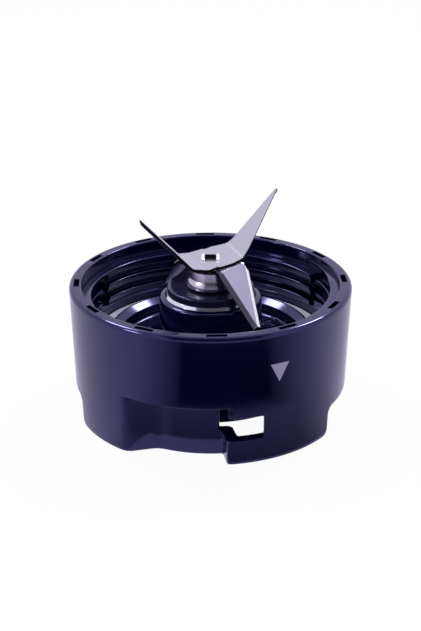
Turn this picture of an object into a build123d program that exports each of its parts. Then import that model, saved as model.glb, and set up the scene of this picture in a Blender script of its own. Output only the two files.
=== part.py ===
from build123d import *
import os
from math import cos, radians, sin, sqrt, tan

# Blade assembly of a bottle blender: a black collar that screws onto the jar and locks
# into the motor base by two bayonet slots, with four blades on a shaft through its boss.
# Angles in plan are counted from the front (-Y) towards the right (+X).

# Fits
press_gap = 0.02
slip_gap = 0.05
running_gap = 0.03
axial_gap = 0.05
cut_margin = 2.0
root_overlap = 0.2

# Collar: mouth and rim
rim_height = 41.0
rim_radius = 43.0
rim_wall = 3.8
rim_round = 0.8
mouth_round = 0.3
mouth_radius = rim_radius - rim_wall
pocket_count = 12
pocket_first_angle = 2.5
pocket_length = 5.9
pocket_width = 1.6
pocket_depth = 2.2

# Gasket channel, lip and floor
channel_floor = 20.6
channel_step = 2.6
channel_depth = 4.0
channel_width = 5.4
channel_radius = mouth_radius - channel_step
channel_top = channel_floor + channel_depth
gasket_thickness = 2.0
gasket_gap = 0.25
gasket_round = 0.4
lip_width = 2.0
lip_height = 4.6
lip_outer_radius = channel_radius - channel_width
lip_inner_radius = lip_outer_radius - lip_width
lip_top = channel_floor + lip_height
floor_step = 0.4
floor_thickness = 2.4
floor_round = 1.0
floor_top = channel_floor - floor_step
floor_bottom = floor_top - floor_thickness

# Jar thread inside the mouth
thread_depth = 3.0
thread_pitch = 4.5
thread_top_angle = 131.0
thread_crest = 1.0
thread_flank = 1.0
thread_rim_gap = 2.0
thread_foot_gap = 0.45
runout_radius = 20.0
thread_top = rim_height - thread_rim_gap
thread_height = thread_top - channel_top - thread_foot_gap

# Skirt under the ledge
foot_radius = 41.5
ledge_wall = 2.25
skirt_wall = 3.3
recess_depth = 6.9
ramp_outer_angle = -36.4
ramp_inner_angle = -26.3
riser_inner_angle = 6.05
riser_outer_angle = 6.7
outer_rounds = [4.0, 6.0, 0.6, 0.9]
inner_rounds = [1.0, 9.0, 2.1, 0.7]
ledge_height = channel_floor - ledge_wall
recess_radius = foot_radius - recess_depth
outside = max(rim_radius, foot_radius) + cut_margin

# Bayonet slot, cut straight through along Y
slot_left = 2.6
slot_nose = 4.9
slot_right = 15.4
slot_sill = 7.75
slot_lintel = 3.45
slot_round = 0.5
nose_round = 1.2
slot_head = ledge_height - slot_lintel

# Side cut-outs of the skirt
cutout_start_angle = 57.8
cutout_end_angle = 110.8
cutout_height = 9.0
cutout_round = 2.5
foot_round = 2.4

# Bearings
sleeve_outer_radius = 9.0
sleeve_wall = 2.0
sleeve_inset = 0.1
bush_length = 8.0
bush_inset = 0.4
bush_drop = 0.7
felt_gap = 0.2
washer_thickness = 0.5
washer_edge_gap = 0.6
sleeve_inner_radius = sleeve_outer_radius - sleeve_wall

# Bearing boss and what hangs under the floor
boss_drop = 3.7
boss_radius = 15.8
boss_draft = 0.2
boss_round = 1.0
boss_root = 2.0
boss_wall = 2.2
boss_roof = 2.2
tube_wall = 2.2
tube_bottom = 11.5
guard_outer_radius = 28.0
guard_wall = 2.0
guard_bottom = 6.8
guard_round = 0.4
rib_count = 6
rib_thickness = 1.6
rib_rise = 1.5
boss_top = rim_height - boss_drop
boss_core_radius = boss_radius - boss_wall
tube_outer_radius = sleeve_outer_radius + tube_wall
guard_inner_radius = guard_outer_radius - guard_wall

# Retainer plate, its posts and screws, and the pads on the bowl's floor
plate_gap = 0.4
plate_thickness = 1.8
plate_round = 0.5
post_count = 3
post_first_angle = 130.0
post_inset = 3.6
post_radius = 3.3
pad_edge = 1.3
pad_radius = 3.9
pad_height = 0.4
pad_dimple_radius = 0.9
screw_radius = 1.45
screw_gap = 0.1
screw_point = 1.2
screw_tip_gap = 0.4
screw_head_radius = 2.7
screw_head_height = 1.5
screw_head_round = 0.7
screw_cross_width = 0.8
screw_cross_length = 3.2
screw_cross_depth = 0.7
plate_radius = guard_inner_radius - plate_gap
plate_bottom = tube_bottom - plate_thickness
post_circle = plate_radius - post_inset
pad_circle = lip_inner_radius - pad_edge - pad_radius
screw_tip = floor_bottom - screw_point

# Seal cap on the boss
spigot_length = 3.6
spigot_radius = 11.4
spigot_wall = 2.75
cap_rim = 1.8
cap_height = 2.4
cap_round = 0.5
cap_dish = 0.5
cap_dish_edge = 1.2
cap_shaft_gap = 0.6
cap_collar_wall = 1.1
cap_collar_height = 1.8
ring_section = 0.75
ring_drop = 1.9
spigot_bottom = boss_top - spigot_length
spigot_bore = spigot_radius - spigot_wall
cap_radius = spigot_radius + cap_rim
cap_top = boss_top + cap_height
cap_collar_top = cap_top + cap_collar_height
ring_height = boss_top - ring_drop
boss_core_top = spigot_bottom - boss_roof

# Shaft
shaft_radius = 4.0
square_relief = 0.32
flange_step = 1.2
flange_thickness = 0.65
thread_step = 1.0
head_spread = 0.35
head_height = 0.7
head_chamfer = 0.3
head_recess = 3.2
head_recess_depth = 0.5
clip_thickness = 0.8
clip_groove = 0.7
clip_stand = 1.9
clip_mouth = 2.6
shaft_square = (shaft_radius - square_relief) * sqrt(2)
head_size = shaft_square + 2 * head_spread
upper_bush_top = spigot_bottom - bush_drop
lower_bush_bottom = tube_bottom + sleeve_inset + bush_inset
flange_bottom = upper_bush_top + washer_thickness + axial_gap
clip_groove_radius = shaft_radius - clip_groove

# Shaft seal and its spring
seal_height = 2.9
seal_stand = 0.2
seal_shell = 1.3
seal_web = 1.0
lip_thickness = 1.3
lip_flare = 0.2
spring_section = 0.4
spring_rise = 0.8
seal_top = boss_top + seal_stand
seal_bottom = seal_top - seal_height
seal_lip_radius = shaft_radius + running_gap
spring_radius = seal_lip_radius + lip_thickness + spring_section + press_gap

# Bell sleeve between the cap and the blades
bell_gap = 0.3
bell_height = 5.25
bell_taper = 0.95
bell_wall = 0.9
bell_collar_gap = 0.7
bell_roof_gap = 0.9
bell_round = 0.4
bell_bottom = cap_top + bell_gap
bell_hollow_radius = shaft_radius + cap_shaft_gap + cap_collar_wall + bell_collar_gap
shaft_shoulder = bell_bottom + bell_height

# Blades: u runs along a blade from the axis, v across it
blade_thickness = 1.1
bend_radius = 1.5
blade_washer_thickness = 1.0
blade_washer_radius = 6.0
bevel_land = 0.35
tip_width = 0.9
upper_direction = 20.4
upper_crease = 8.56
upper_dihedral = 10.0
upper_bend = 47.2
upper_reach = 15.6
upper_front = 5.0
upper_step = 2.1
upper_step_rise = 0.9
upper_back = 7.6
upper_notch = 1.0
upper_heel = 4.6
upper_heel_rise = 1.5
upper_tip_side = 6.6
upper_bevel = 1.6
lower_direction = -42.5
lower_crease = 7.98
lower_bend = 41.6
lower_reach = 15.2
lower_front = 5.1
lower_back = 5.9
lower_shoulder = 2.2
lower_tip_side = -4.7
lower_tip_width = 2.3
lower_front_bevel = 1.4
lower_back_bevel = 0.9
head_clearance = 0.6
upper_flat = head_size / sqrt(2) + head_clearance
lower_top = shaft_shoulder + blade_washer_thickness + blade_thickness
upper_top = lower_top + blade_thickness

# Coupling under the plate
coupling_gap = 0.9
coupling_radius = 13.0
coupling_flange = 2.6
coupling_round = 0.5
dog_count = 6
dog_length = 4.0
dog_angle = 26.0
dog_round = 0.8
dog_hub_gap = 1.8
insert_wall = 1.6
hub_wall = 1.8
hub_recess = 1.6
hub_plate_gap = 1.6
shaft_thread_radius = shaft_radius - thread_step
shaft_thread_top = plate_bottom + 2 * axial_gap
insert_radius = shaft_thread_radius + insert_wall
hub_radius = insert_radius + hub_wall
plate_bore = hub_radius + hub_plate_gap
coupling_top = plate_bottom - coupling_gap
coupling_flange_bottom = coupling_top - coupling_flange
coupling_bottom = coupling_flange_bottom - dog_length
hub_bottom = coupling_bottom + hub_recess
hub_top = shaft_thread_top - 2 * axial_gap


def at(radius, angle, height=0.0):
    return (radius * sin(radians(angle)), -radius * cos(radians(angle)), height)


def turned(points, rounds=0.0):
    # a solid of revolution from (radius, height) corners, each with its own rounding
    outline = FilletPolyline(*[(r, 0, z) for r, z in points], radius=rounds, close=True)
    return revolve(make_face(outline.edges()), Axis.Z)


def ring(inner, outer, bottom, top):
    return turned([(inner, bottom), (outer, bottom), (outer, top), (inner, top)])


def disc(radius, bottom, top):
    return Pos(0, 0, (bottom + top) / 2) * Cylinder(radius, top - bottom)


def sector(inner, outer, start, end, bottom, top):
    middle = (start + end) / 2
    outline = [
        Line(at(inner, start), at(outer, start)),
        ThreePointArc(at(outer, start), at(outer, middle), at(outer, end)),
        Line(at(outer, end), at(inner, end)),
        ThreePointArc(at(inner, end), at(inner, middle), at(inner, start)),
    ]
    return Pos(0, 0, bottom) * extrude(make_face(outline), top - bottom)


def opposite(solid):
    return Rot(0, 0, 180) * solid


def around(count, first_angle, radius):
    return [Pos(*at(radius, first_angle + number * 360 / count)) for number in range(count)]


def skirt_plan():
    # plan of the skirt with sharp corners: two flush arcs, each after a ramp, a recess and a riser
    edges = []
    for turn in (0, 180):
        ramp_start = at(foot_radius, turn + ramp_outer_angle)
        ramp_end = at(recess_radius, turn + ramp_inner_angle)
        recess_middle = at(recess_radius, turn + (ramp_inner_angle + riser_inner_angle) / 2)
        riser_start = at(recess_radius, turn + riser_inner_angle)
        riser_end = at(foot_radius, turn + riser_outer_angle)
        flush_middle = at(foot_radius, turn + (riser_outer_angle + 180 + ramp_outer_angle) / 2)
        next_ramp = at(foot_radius, turn + 180 + ramp_outer_angle)
        edges.append(Line(ramp_start, ramp_end))
        edges.append(ThreePointArc(ramp_end, recess_middle, riser_start))
        edges.append(Line(riser_start, riser_end))
        edges.append(ThreePointArc(riser_end, flush_middle, next_ramp))
    return make_face(edges)


def rounded_plan(plan, inset, rounds):
    # the corners in the order ramp top, ramp foot, riser foot, riser top
    corners = [
        (foot_radius, ramp_outer_angle),
        (recess_radius, ramp_inner_angle),
        (recess_radius, riser_inner_angle),
        (foot_radius, riser_outer_angle),
    ]
    for turn in (0, 180):
        for (radius, angle), rounding in zip(corners, rounds):
            corner = plan.vertices().sort_by_distance(at(radius - inset, turn + angle))[0]
            plan = fillet(corner, rounding)
    return plan


def drafted(plan, height):
    # the plan grows upwards with the draft of the collar's outer wall
    growth = 1 + (rim_radius - foot_radius) / foot_radius * height / rim_height
    upper = Pos(0, 0, height) * scale(plan, by=(growth, growth, 1))
    return loft([plan.face(), upper.face()], ruled=True)


def slot_cutter():
    # the slot with its entry beside the riser; the nose between them has a rounded corner
    corners = [
        (slot_left, slot_sill), (slot_right, slot_sill), (slot_right, slot_head),
        (slot_nose, slot_head), (slot_nose, ledge_height), (slot_left, ledge_height),
    ]
    rounds = [slot_round, slot_round, slot_round, nose_round, 0, 0]
    opening = make_face(FilletPolyline(*corners, radius=rounds, close=True).edges())
    inside = recess_radius - 2 * skirt_wall
    return extrude(Plane.XZ.offset(inside) * opening, outside - inside)


def cutout_cutter():
    inside = recess_radius - 2 * skirt_wall
    cutter = sector(inside, outside, cutout_start_angle, cutout_end_angle, -cutout_height, cutout_height)
    across = cutter.edges().filter_by(lambda e: abs(e.length - (outside - inside)) < slip_gap)
    return fillet(across.group_by(Axis.Z)[-1], cutout_round)


def skirt():
    plan = skirt_plan()
    outer = rounded_plan(plan, 0, outer_rounds)
    inner = rounded_plan(offset(plan, -skirt_wall, kind=Kind.INTERSECTION), skirt_wall, inner_rounds)
    wall = drafted(outer, ledge_height) - drafted(inner, ledge_height)
    for tool in (slot_cutter(), cutout_cutter()):
        wall = wall - tool - opposite(tool)
    foot_corners = []
    for edge in wall.edges().filter_by(GeomType.LINE):
        for angle in (cutout_start_angle, cutout_end_angle):
            for turn in (0, 180):
                target = Vector(*at(foot_radius - skirt_wall / 2, angle + turn))
                if (edge.center() - target).length < skirt_wall / 4:
                    foot_corners.append(edge)
    return fillet(foot_corners, foot_round)


def collar_body():
    slope = (rim_radius - foot_radius) / rim_height
    ledge_radius = foot_radius + slope * ledge_height
    counterbore = spigot_radius + slip_gap
    bore = sleeve_outer_radius + press_gap
    seat = spigot_bottom - slip_gap
    lip_round = lip_width / 2 - press_gap
    profile = [
        (rim_radius, rim_height, rim_round),
        (mouth_radius, rim_height, mouth_round),
        (mouth_radius, channel_top + channel_step, 0.0),
        (channel_radius, channel_top, mouth_round),
        (channel_radius, channel_floor, 0.0),
        (lip_outer_radius, channel_floor, 0.0),
        (lip_outer_radius, lip_top, lip_round),
        (lip_inner_radius, lip_top, lip_round),
        (lip_inner_radius, floor_top, floor_round),
        (boss_radius, floor_top, boss_root),
        (boss_radius - boss_draft, boss_top, boss_round),
        (counterbore, boss_top, 0.0),
        (counterbore, seat, 0.0),
        (bore, seat, 0.0),
        (bore, tube_bottom, 0.0),
        (tube_outer_radius, tube_bottom, 0.0),
        (tube_outer_radius, boss_core_top, 0.0),
        (boss_core_radius, boss_core_top, 0.0),
        (boss_core_radius, floor_bottom, 0.0),
        (guard_inner_radius, floor_bottom, 0.0),
        (guard_inner_radius, guard_bottom, guard_round),
        (guard_outer_radius, guard_bottom, guard_round),
        (guard_outer_radius, ledge_height, 0.0),
        (ledge_radius, ledge_height, 0.0),
    ]
    return turned([p[:2] for p in profile], [p[2] for p in profile])


def jar_thread():
    # one right-handed ridge that fades out at its upper end
    crest = mouth_radius - thread_depth
    root = mouth_radius + root_overlap / 2
    section = make_face(Polyline(
        (root, 0, thread_flank), (crest, 0, 0),
        (crest, 0, -thread_crest), (root, 0, -thread_crest - thread_flank), close=True))
    ridge = sweep(section, path=Helix(thread_pitch, thread_height, mouth_radius), is_frenet=True)
    first_angle = thread_top_angle - 360 * thread_height / thread_pitch
    ridge = Rot(0, 0, first_angle - 90) * Pos(0, 0, thread_top - thread_height) * ridge
    runout = disc(runout_radius, thread_top - thread_pitch / 2, rim_height + cut_margin)
    return ridge - Pos(*at(root - runout_radius, thread_top_angle)) * runout


def under_floor():
    # ribs round the bearing tube, and the posts for the retainer screws
    ribs = []
    low = tube_bottom + rib_rise
    for number in range(rib_count):
        angle = post_first_angle + (number + 0.5) * 360 / rib_count
        for reach, top in ((guard_inner_radius, floor_bottom), (boss_core_radius, boss_core_top)):
            high = top + root_overlap
            rib = Box(reach - tube_outer_radius + 2 * root_overlap, rib_thickness, high - low)
            rib = Pos((reach + tube_outer_radius) / 2, 0, (high + low) / 2) * rib
            ribs.append(Rot(0, 0, angle - 90) * rib)
    posts = []
    for spot in around(post_count, post_first_angle, post_circle):
        posts.append(spot * disc(post_radius, tube_bottom, floor_bottom + root_overlap))
    return ribs + posts


def collar_housing():
    collar = collar_body() + skirt() + jar_thread()
    collar = collar + under_floor()
    for spot in around(post_count, post_first_angle, post_circle):
        collar -= spot * disc(screw_radius + slip_gap, tube_bottom - cut_margin, screw_tip + screw_tip_gap)
    for spot in around(post_count, post_first_angle, pad_circle):
        collar += spot * disc(pad_radius, floor_top - root_overlap, floor_top + pad_height)
        collar -= spot * disc(pad_dimple_radius, floor_top, floor_top + cut_margin)
    middle = (rim_radius - rim_round + mouth_radius) / 2
    pocket = Box(pocket_length, pocket_width, 2 * pocket_depth)
    for number in range(pocket_count):
        angle = pocket_first_angle + number * 360 / pocket_count
        collar -= Pos(*at(middle, angle, rim_height)) * Rot(0, 0, angle) * pocket
    return collar


def jar_gasket():
    inner = lip_outer_radius + gasket_gap
    outer = channel_radius - gasket_gap
    top = channel_floor + gasket_thickness
    corners = [(inner, channel_floor), (outer, channel_floor), (outer, top), (inner, top)]
    return turned(corners, [0, 0, gasket_round, gasket_round])


def strip(profile, bends, outline):
    # sheet bent along parallel creases: the profile is its upper face, mirrored about the axis
    whole = [(-u, z) for u, z in reversed(profile)] + profile
    upper = FilletPolyline(*whole, radius=list(reversed(bends)) + bends)
    band = make_face(offset(upper, blade_thickness, side=Side.RIGHT).edges())
    half_width = max(abs(v) for u, v in outline) + cut_margin
    return extrude(Plane.XZ * band, half_width, both=True)


def blade_blank(points, rounds):
    # half of the outline in plan; the other half is the same turned by half a turn
    whole = points + [(-u, -v) for u, v in points]
    outline = FilletPolyline(*[(u, v, 0) for u, v in whole], radius=rounds + rounds, close=True)
    return extrude(make_face(outline.edges()), 2 * upper_top)


def square_hole():
    side = shaft_square + 2 * slip_gap
    return Pos(0, 0, shaft_shoulder) * Box(side, side, 2 * (upper_top - shaft_shoulder + blade_thickness))


def bevel(start, end, crease, level, slope, face, width):
    # wedges that grind an edge of both wings from their upper (1) or lower (-1) face
    ends = [Vector(u, v, level + (u - crease) * slope) for u, v in (start, end)]
    along = (ends[1] - ends[0]).normalized()
    normal = Vector(-slope, 0, 1).normalized()
    inward = normal.cross(along)
    ground = blade_thickness - bevel_land
    depth = bevel_land if face < 0 else ground
    run = inward * width + normal * (face * ground)
    middle = (ends[0] + ends[1]) * 0.5 - normal * depth
    plane = Plane(origin=middle, x_dir=along, z_dir=along.cross(run) * face)
    length = (ends[1] - ends[0]).length + blade_thickness
    reach = width + blade_thickness
    wedge = plane * Pos(0, 0, reach) * Box(length, 4 * reach, 2 * reach)
    return [wedge, opposite(wedge)]


def upper_blade():
    slope = tan(radians(upper_bend))
    crease_top = upper_top + (upper_crease - upper_flat) * tan(radians(upper_dihedral))
    tip = upper_crease + upper_reach
    outline = [
        (upper_crease, -upper_front),
        (upper_crease + upper_step, upper_step_rise - upper_front),
        (tip, upper_tip_side - tip_width / 2),
        (tip - tip_width / 2, upper_tip_side + tip_width / 2),
        (upper_crease + bend_radius, upper_back),
        (upper_crease, upper_back + upper_step_rise),
        (upper_crease - upper_heel, upper_back + upper_heel_rise),
        (upper_notch, upper_back),
        (0, upper_back + bevel_land),
    ]
    profile = [
        (upper_flat, upper_top),
        (upper_crease, crease_top),
        (tip + cut_margin, crease_top + (upper_reach + cut_margin) * slope),
    ]
    sheet = strip(profile, [2.5 * bend_radius, bend_radius], outline)
    blade = sheet & blade_blank(outline, [2.0, 4.0, 0.3, 0.3, 4.0, 1.0, 1.0, 0.5, 0.5])
    blade -= bevel(outline[1], outline[2], upper_crease, crease_top, slope, -1, upper_bevel)
    return Rot(0, 0, upper_direction) * blade - square_hole()


def lower_blade():
    slope = -tan(radians(lower_bend))
    tip = lower_crease + lower_reach
    outline = [
        (lower_crease, -lower_front),
        (tip - tip_width / 3, lower_tip_side - lower_tip_width / 2),
        (tip, lower_tip_side + lower_tip_width / 2),
        (lower_crease + lower_shoulder, lower_back),
        (lower_crease, lower_back),
    ]
    profile = [
        (lower_crease, lower_top),
        (tip + cut_margin, lower_top + (lower_reach + cut_margin) * slope),
    ]
    sheet = strip(profile, [bend_radius + blade_thickness], outline)
    blade = sheet & blade_blank(outline, [0.5, 0.3, 0.3, 1.5, 1.0])
    blade -= bevel(outline[0], outline[1], lower_crease, lower_top, slope, 1, lower_front_bevel)
    blade -= bevel(outline[2], outline[3], lower_crease, lower_top, slope, 1, lower_back_bevel)
    return Rot(0, 0, lower_direction) * blade - square_hole()


def blade_washer():
    washer = disc(blade_washer_radius, shaft_shoulder, shaft_shoulder + blade_washer_thickness)
    return washer - square_hole()


def drive_shaft():
    foot = hub_bottom - root_overlap
    flange_radius = shaft_radius + flange_step
    flange_top = flange_bottom + flange_thickness
    clip_top = lower_bush_bottom - washer_thickness - 2 * axial_gap
    clip_bottom = clip_top - clip_thickness - 2 * axial_gap
    body = turned([
        (0, foot), (shaft_thread_radius, foot), (shaft_thread_radius, shaft_thread_top),
        (shaft_radius, shaft_thread_top), (shaft_radius, clip_bottom), (clip_groove_radius, clip_bottom),
        (clip_groove_radius, clip_top), (shaft_radius, clip_top), (shaft_radius, flange_bottom),
        (flange_radius, flange_bottom), (flange_radius, flange_top),
        (shaft_radius, flange_top), (shaft_radius, shaft_shoulder), (0, shaft_shoulder)])
    seat = Box(shaft_square, shaft_square, upper_top - shaft_shoulder + root_overlap)
    seat = Pos(0, 0, (upper_top + shaft_shoulder) / 2) * seat
    head_top = Pos(0, 0, upper_top + head_height)
    head = Pos(0, 0, upper_top + head_height / 2) * Box(head_size, head_size, head_height)
    head = chamfer(head.edges().group_by(Axis.Z)[-1], head_chamfer)
    for turn in (0, 90):
        head -= head_top * Rot(0, 0, turn) * Box(head_size, head_recess / 2, head_height)
    return body + seat + head - head_top * Box(head_recess, head_recess, 2 * head_recess_depth)


def bell_sleeve():
    bore = shaft_radius + press_gap
    radius = bell_hollow_radius + bell_wall
    hollow_top = cap_collar_top + bell_roof_gap
    return turned(
        [(bore, shaft_shoulder), (bore, hollow_top), (bell_hollow_radius, hollow_top),
         (bell_hollow_radius, bell_bottom), (radius, bell_bottom), (radius - bell_taper, shaft_shoulder)],
        [0, 0, bell_round, 0, bell_round, bell_round])


def seal_cap():
    bore = shaft_radius + cap_shaft_gap
    collar = bore + cap_collar_wall
    groove = spigot_radius - 2 * ring_section
    low = ring_height - ring_section - slip_gap
    high = ring_height + ring_section + slip_gap
    ceiling = seal_top + axial_gap
    return turned(
        [(bore, ceiling), (spigot_bore, ceiling), (spigot_bore, spigot_bottom),
         (spigot_radius, spigot_bottom), (spigot_radius, low), (groove, low), (groove, high),
         (spigot_radius, high), (spigot_radius, boss_top), (cap_radius, boss_top),
         (cap_radius, cap_top), (cap_radius - cap_dish_edge, cap_top), (collar, cap_top - cap_dish),
         (collar, cap_collar_top), (bore, cap_collar_top)],
        [0, 0, 0, 0, 0, 0, 0, 0, 0, 0, cap_round, 0, cap_round, 0, 0])


def shaft_seal():
    outer = spigot_bore - press_gap
    lip = seal_lip_radius
    web = seal_top - seal_web
    relief = lip + lip_thickness / 2
    return turned([
        (outer, seal_top), (outer, seal_bottom), (outer - seal_shell, seal_bottom),
        (outer - seal_shell, web), (lip + lip_thickness + lip_flare, web),
        (lip + lip_thickness - lip_flare, seal_bottom + lip_flare), (relief, seal_bottom),
        (lip, seal_bottom + 2 * lip_flare), (relief, web), (relief, seal_top)])


def seal_spring():
    return Pos(0, 0, seal_bottom + spring_rise) * Torus(spring_radius, spring_section)


def cap_o_ring():
    return Pos(0, 0, ring_height) * Torus(spigot_radius - ring_section, ring_section)


def bearing_sleeve():
    bottom = tube_bottom + sleeve_inset
    return ring(sleeve_inner_radius, sleeve_outer_radius, bottom, spigot_bottom - 2 * slip_gap)


def bush(bottom):
    inner = shaft_radius + running_gap
    return ring(inner, sleeve_inner_radius - press_gap, bottom, bottom + bush_length)


def oil_felt():
    bottom = lower_bush_bottom + bush_length + felt_gap
    top = upper_bush_top - bush_length - felt_gap
    return ring(shaft_radius + 2 * felt_gap, sleeve_inner_radius - felt_gap, bottom, top)


def thrust_washer(bottom):
    outer = sleeve_inner_radius - washer_edge_gap
    return ring(shaft_radius + washer_edge_gap / 2, outer, bottom, bottom + washer_thickness)


def retaining_clip():
    top = lower_bush_bottom - washer_thickness - 3 * axial_gap
    radius = shaft_radius + clip_stand
    clip = ring(clip_groove_radius + slip_gap, radius, top - clip_thickness, top)
    return clip - Pos(0, -radius, top) * Box(clip_mouth, 2 * radius, 4 * clip_thickness)


def drive_coupling():
    bore = insert_radius + press_gap
    disk = turned(
        [(bore, hub_bottom), (hub_radius, hub_bottom), (hub_radius, coupling_flange_bottom),
         (coupling_radius, coupling_flange_bottom), (coupling_radius, coupling_top),
         (hub_radius, coupling_top), (hub_radius, hub_top), (bore, hub_top)],
        [0, 0, 0, 0, coupling_round, 0, 0, 0])
    dogs = []
    for number in range(dog_count):
        middle = number * 360 / dog_count
        dog = sector(hub_radius + dog_hub_gap, coupling_radius, middle - dog_angle / 2,
                     middle + dog_angle / 2, coupling_bottom, coupling_flange_bottom + root_overlap)
        dogs.append(fillet(dog.edges().filter_by(Axis.Z), dog_round))
    return disk + dogs


def coupling_insert():
    return ring(shaft_thread_radius + slip_gap, insert_radius, hub_bottom + root_overlap, hub_top)


def retainer_plate():
    corners = [(plate_bore, plate_bottom), (plate_radius, plate_bottom),
               (plate_radius, tube_bottom), (plate_bore, tube_bottom)]
    plate = turned(corners, [0, plate_round, 0, 0])
    for spot in around(post_count, post_first_angle, post_circle):
        plate -= spot * disc(screw_radius + screw_gap, plate_bottom - cut_margin, tube_bottom + cut_margin)
    return plate


def retainer_screws():
    head_bottom = plate_bottom - screw_head_height
    screw = turned(
        [(0, head_bottom), (screw_head_radius, head_bottom), (screw_head_radius, plate_bottom),
         (screw_radius, plate_bottom), (screw_radius, screw_tip - screw_point), (0, screw_tip)],
        [0, screw_head_round, 0, 0, 0, 0])
    for turn in (0, 90):
        cross = Box(screw_cross_length, screw_cross_width, 2 * screw_cross_depth)
        screw -= Pos(0, 0, head_bottom) * Rot(0, 0, turn) * cross
    screws = [spot * screw for spot in around(post_count, post_first_angle, post_circle)]
    return Compound(children=screws)


pieces = {
    "collar_housing": collar_housing(),
    "jar_gasket": jar_gasket(),
    "upper_blade": upper_blade(),
    "lower_blade": lower_blade(),
    "blade_washer": blade_washer(),
    "drive_shaft": drive_shaft(),
    "bell_sleeve": bell_sleeve(),
    "seal_cap": seal_cap(),
    "shaft_seal": shaft_seal(),
    "seal_spring": seal_spring(),
    "cap_o_ring": cap_o_ring(),
    "bearing_sleeve": bearing_sleeve(),
    "upper_bush": bush(upper_bush_top - bush_length),
    "lower_bush": bush(lower_bush_bottom),
    "oil_felt": oil_felt(),
    "upper_thrust_washer": thrust_washer(upper_bush_top),
    "lower_thrust_washer": thrust_washer(lower_bush_bottom - washer_thickness - axial_gap),
    "retaining_clip": retaining_clip(),
    "drive_coupling": drive_coupling(),
    "coupling_insert": coupling_insert(),
    "retainer_plate": retainer_plate(),
    "retainer_screws": retainer_screws(),
}

os.makedirs("parts", exist_ok=True)
for name, piece in pieces.items():
    export_step(piece, f"parts/{name}.step")
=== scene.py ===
import bisect
import math
import bmesh
import bpy
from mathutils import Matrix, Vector
from mathutils.geometry import delaunay_2d_cdt


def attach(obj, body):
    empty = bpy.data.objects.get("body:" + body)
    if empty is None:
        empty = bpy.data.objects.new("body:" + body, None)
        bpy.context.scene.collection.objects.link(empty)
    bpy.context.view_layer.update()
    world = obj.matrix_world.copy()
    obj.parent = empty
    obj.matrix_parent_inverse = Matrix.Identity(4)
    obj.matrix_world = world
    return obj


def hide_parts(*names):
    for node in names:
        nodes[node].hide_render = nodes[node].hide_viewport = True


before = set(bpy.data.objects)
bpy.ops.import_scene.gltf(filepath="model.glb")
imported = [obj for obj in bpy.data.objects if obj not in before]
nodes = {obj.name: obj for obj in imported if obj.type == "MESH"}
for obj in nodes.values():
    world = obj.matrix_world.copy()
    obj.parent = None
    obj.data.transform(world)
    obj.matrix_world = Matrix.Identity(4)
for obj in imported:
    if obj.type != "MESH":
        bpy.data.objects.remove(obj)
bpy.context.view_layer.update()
mm = 0.001
print("frame loaded:", len(nodes), "nodes")


# shader helpers

def newMaterial(name):
    material = bpy.data.materials.new(name)
    material.use_nodes = True
    tree = material.node_tree
    tree.nodes.clear()
    out = tree.nodes.new("ShaderNodeOutputMaterial")
    bsdf = tree.nodes.new("ShaderNodeBsdfPrincipled")
    tree.links.new(bsdf.outputs["BSDF"], out.inputs["Surface"])
    return material, tree, bsdf


def addNode(tree, kind, **settings):
    node = tree.nodes.new(kind)
    for key, value in settings.items():
        setattr(node, key, value)
    return node


def makeGroup(name, inputs, outputs, kind="ShaderNodeTree"):
    group = bpy.data.node_groups.new(name, kind)
    for label, socketKind, default in inputs:
        socket = group.interface.new_socket(label, in_out="INPUT", socket_type=socketKind)
        if default is not None:
            socket.default_value = default
    for label, socketKind in outputs:
        group.interface.new_socket(label, in_out="OUTPUT", socket_type=socketKind)
    return group, group.nodes.new("NodeGroupInput"), group.nodes.new("NodeGroupOutput")


def useGroup(tree, group, **values):
    node = tree.nodes.new("ShaderNodeGroup")
    node.node_tree = group
    for label, value in values.items():
        node.inputs[label].default_value = value
    return node


def noiseFrom(tree, vector, scale, detail):
    noise = addNode(tree, "ShaderNodeTexNoise")
    noise.inputs["Scale"].default_value = scale
    noise.inputs["Detail"].default_value = detail
    tree.links.new(vector, noise.inputs["Vector"])
    return noise.outputs["Fac"]


skinInputs = [("Dark", "NodeSocketColor", None), ("Light", "NodeSocketColor", None),
              ("Gloss", "NodeSocketFloat", 0.2), ("Spread", "NodeSocketFloat", 0.1)]
skinOutputs = [("Color", "NodeSocketColor"), ("Roughness", "NodeSocketFloat"), ("Height", "NodeSocketFloat")]


def endSkin(group, gin, gout, tint, sheen, height):
    # colour between dark and light, and roughness that grows with the sheen mask
    link = group.links.new
    mix = addNode(group, "ShaderNodeMix", data_type="RGBA")
    link(tint, mix.inputs["Factor"])
    link(gin.outputs["Dark"], mix.inputs["A"])
    link(gin.outputs["Light"], mix.inputs["B"])
    rough = addNode(group, "ShaderNodeMath", operation="MULTIPLY_ADD")
    link(sheen, rough.inputs[0])
    link(gin.outputs["Spread"], rough.inputs[1])
    link(gin.outputs["Gloss"], rough.inputs[2])
    link(mix.outputs["Result"], gout.inputs["Color"])
    link(rough.outputs[0], gout.inputs["Roughness"])
    link(height, gout.inputs["Height"])


# moulded skin: slow flow mottling in colour and gloss, fine grain for the bump

def mouldedSkinGroup():
    grain = ("Grain", "NodeSocketFloat", 900.0)
    group, gin, gout = makeGroup("mouldedSkin", skinInputs + [grain], skinOutputs)
    coord = addNode(group, "ShaderNodeTexCoord").outputs["Object"]
    flow = noiseFrom(group, coord, 60.0, 3.0)
    fine = noiseFrom(group, coord, 1.0, 2.0)
    group.links.new(gin.outputs["Grain"], fine.node.inputs["Scale"])
    endSkin(group, gin, gout, flow, flow, fine)
    return group


# brushed metal: streaks drawn out along one direction, or rings when the stretch lies along Z

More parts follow.
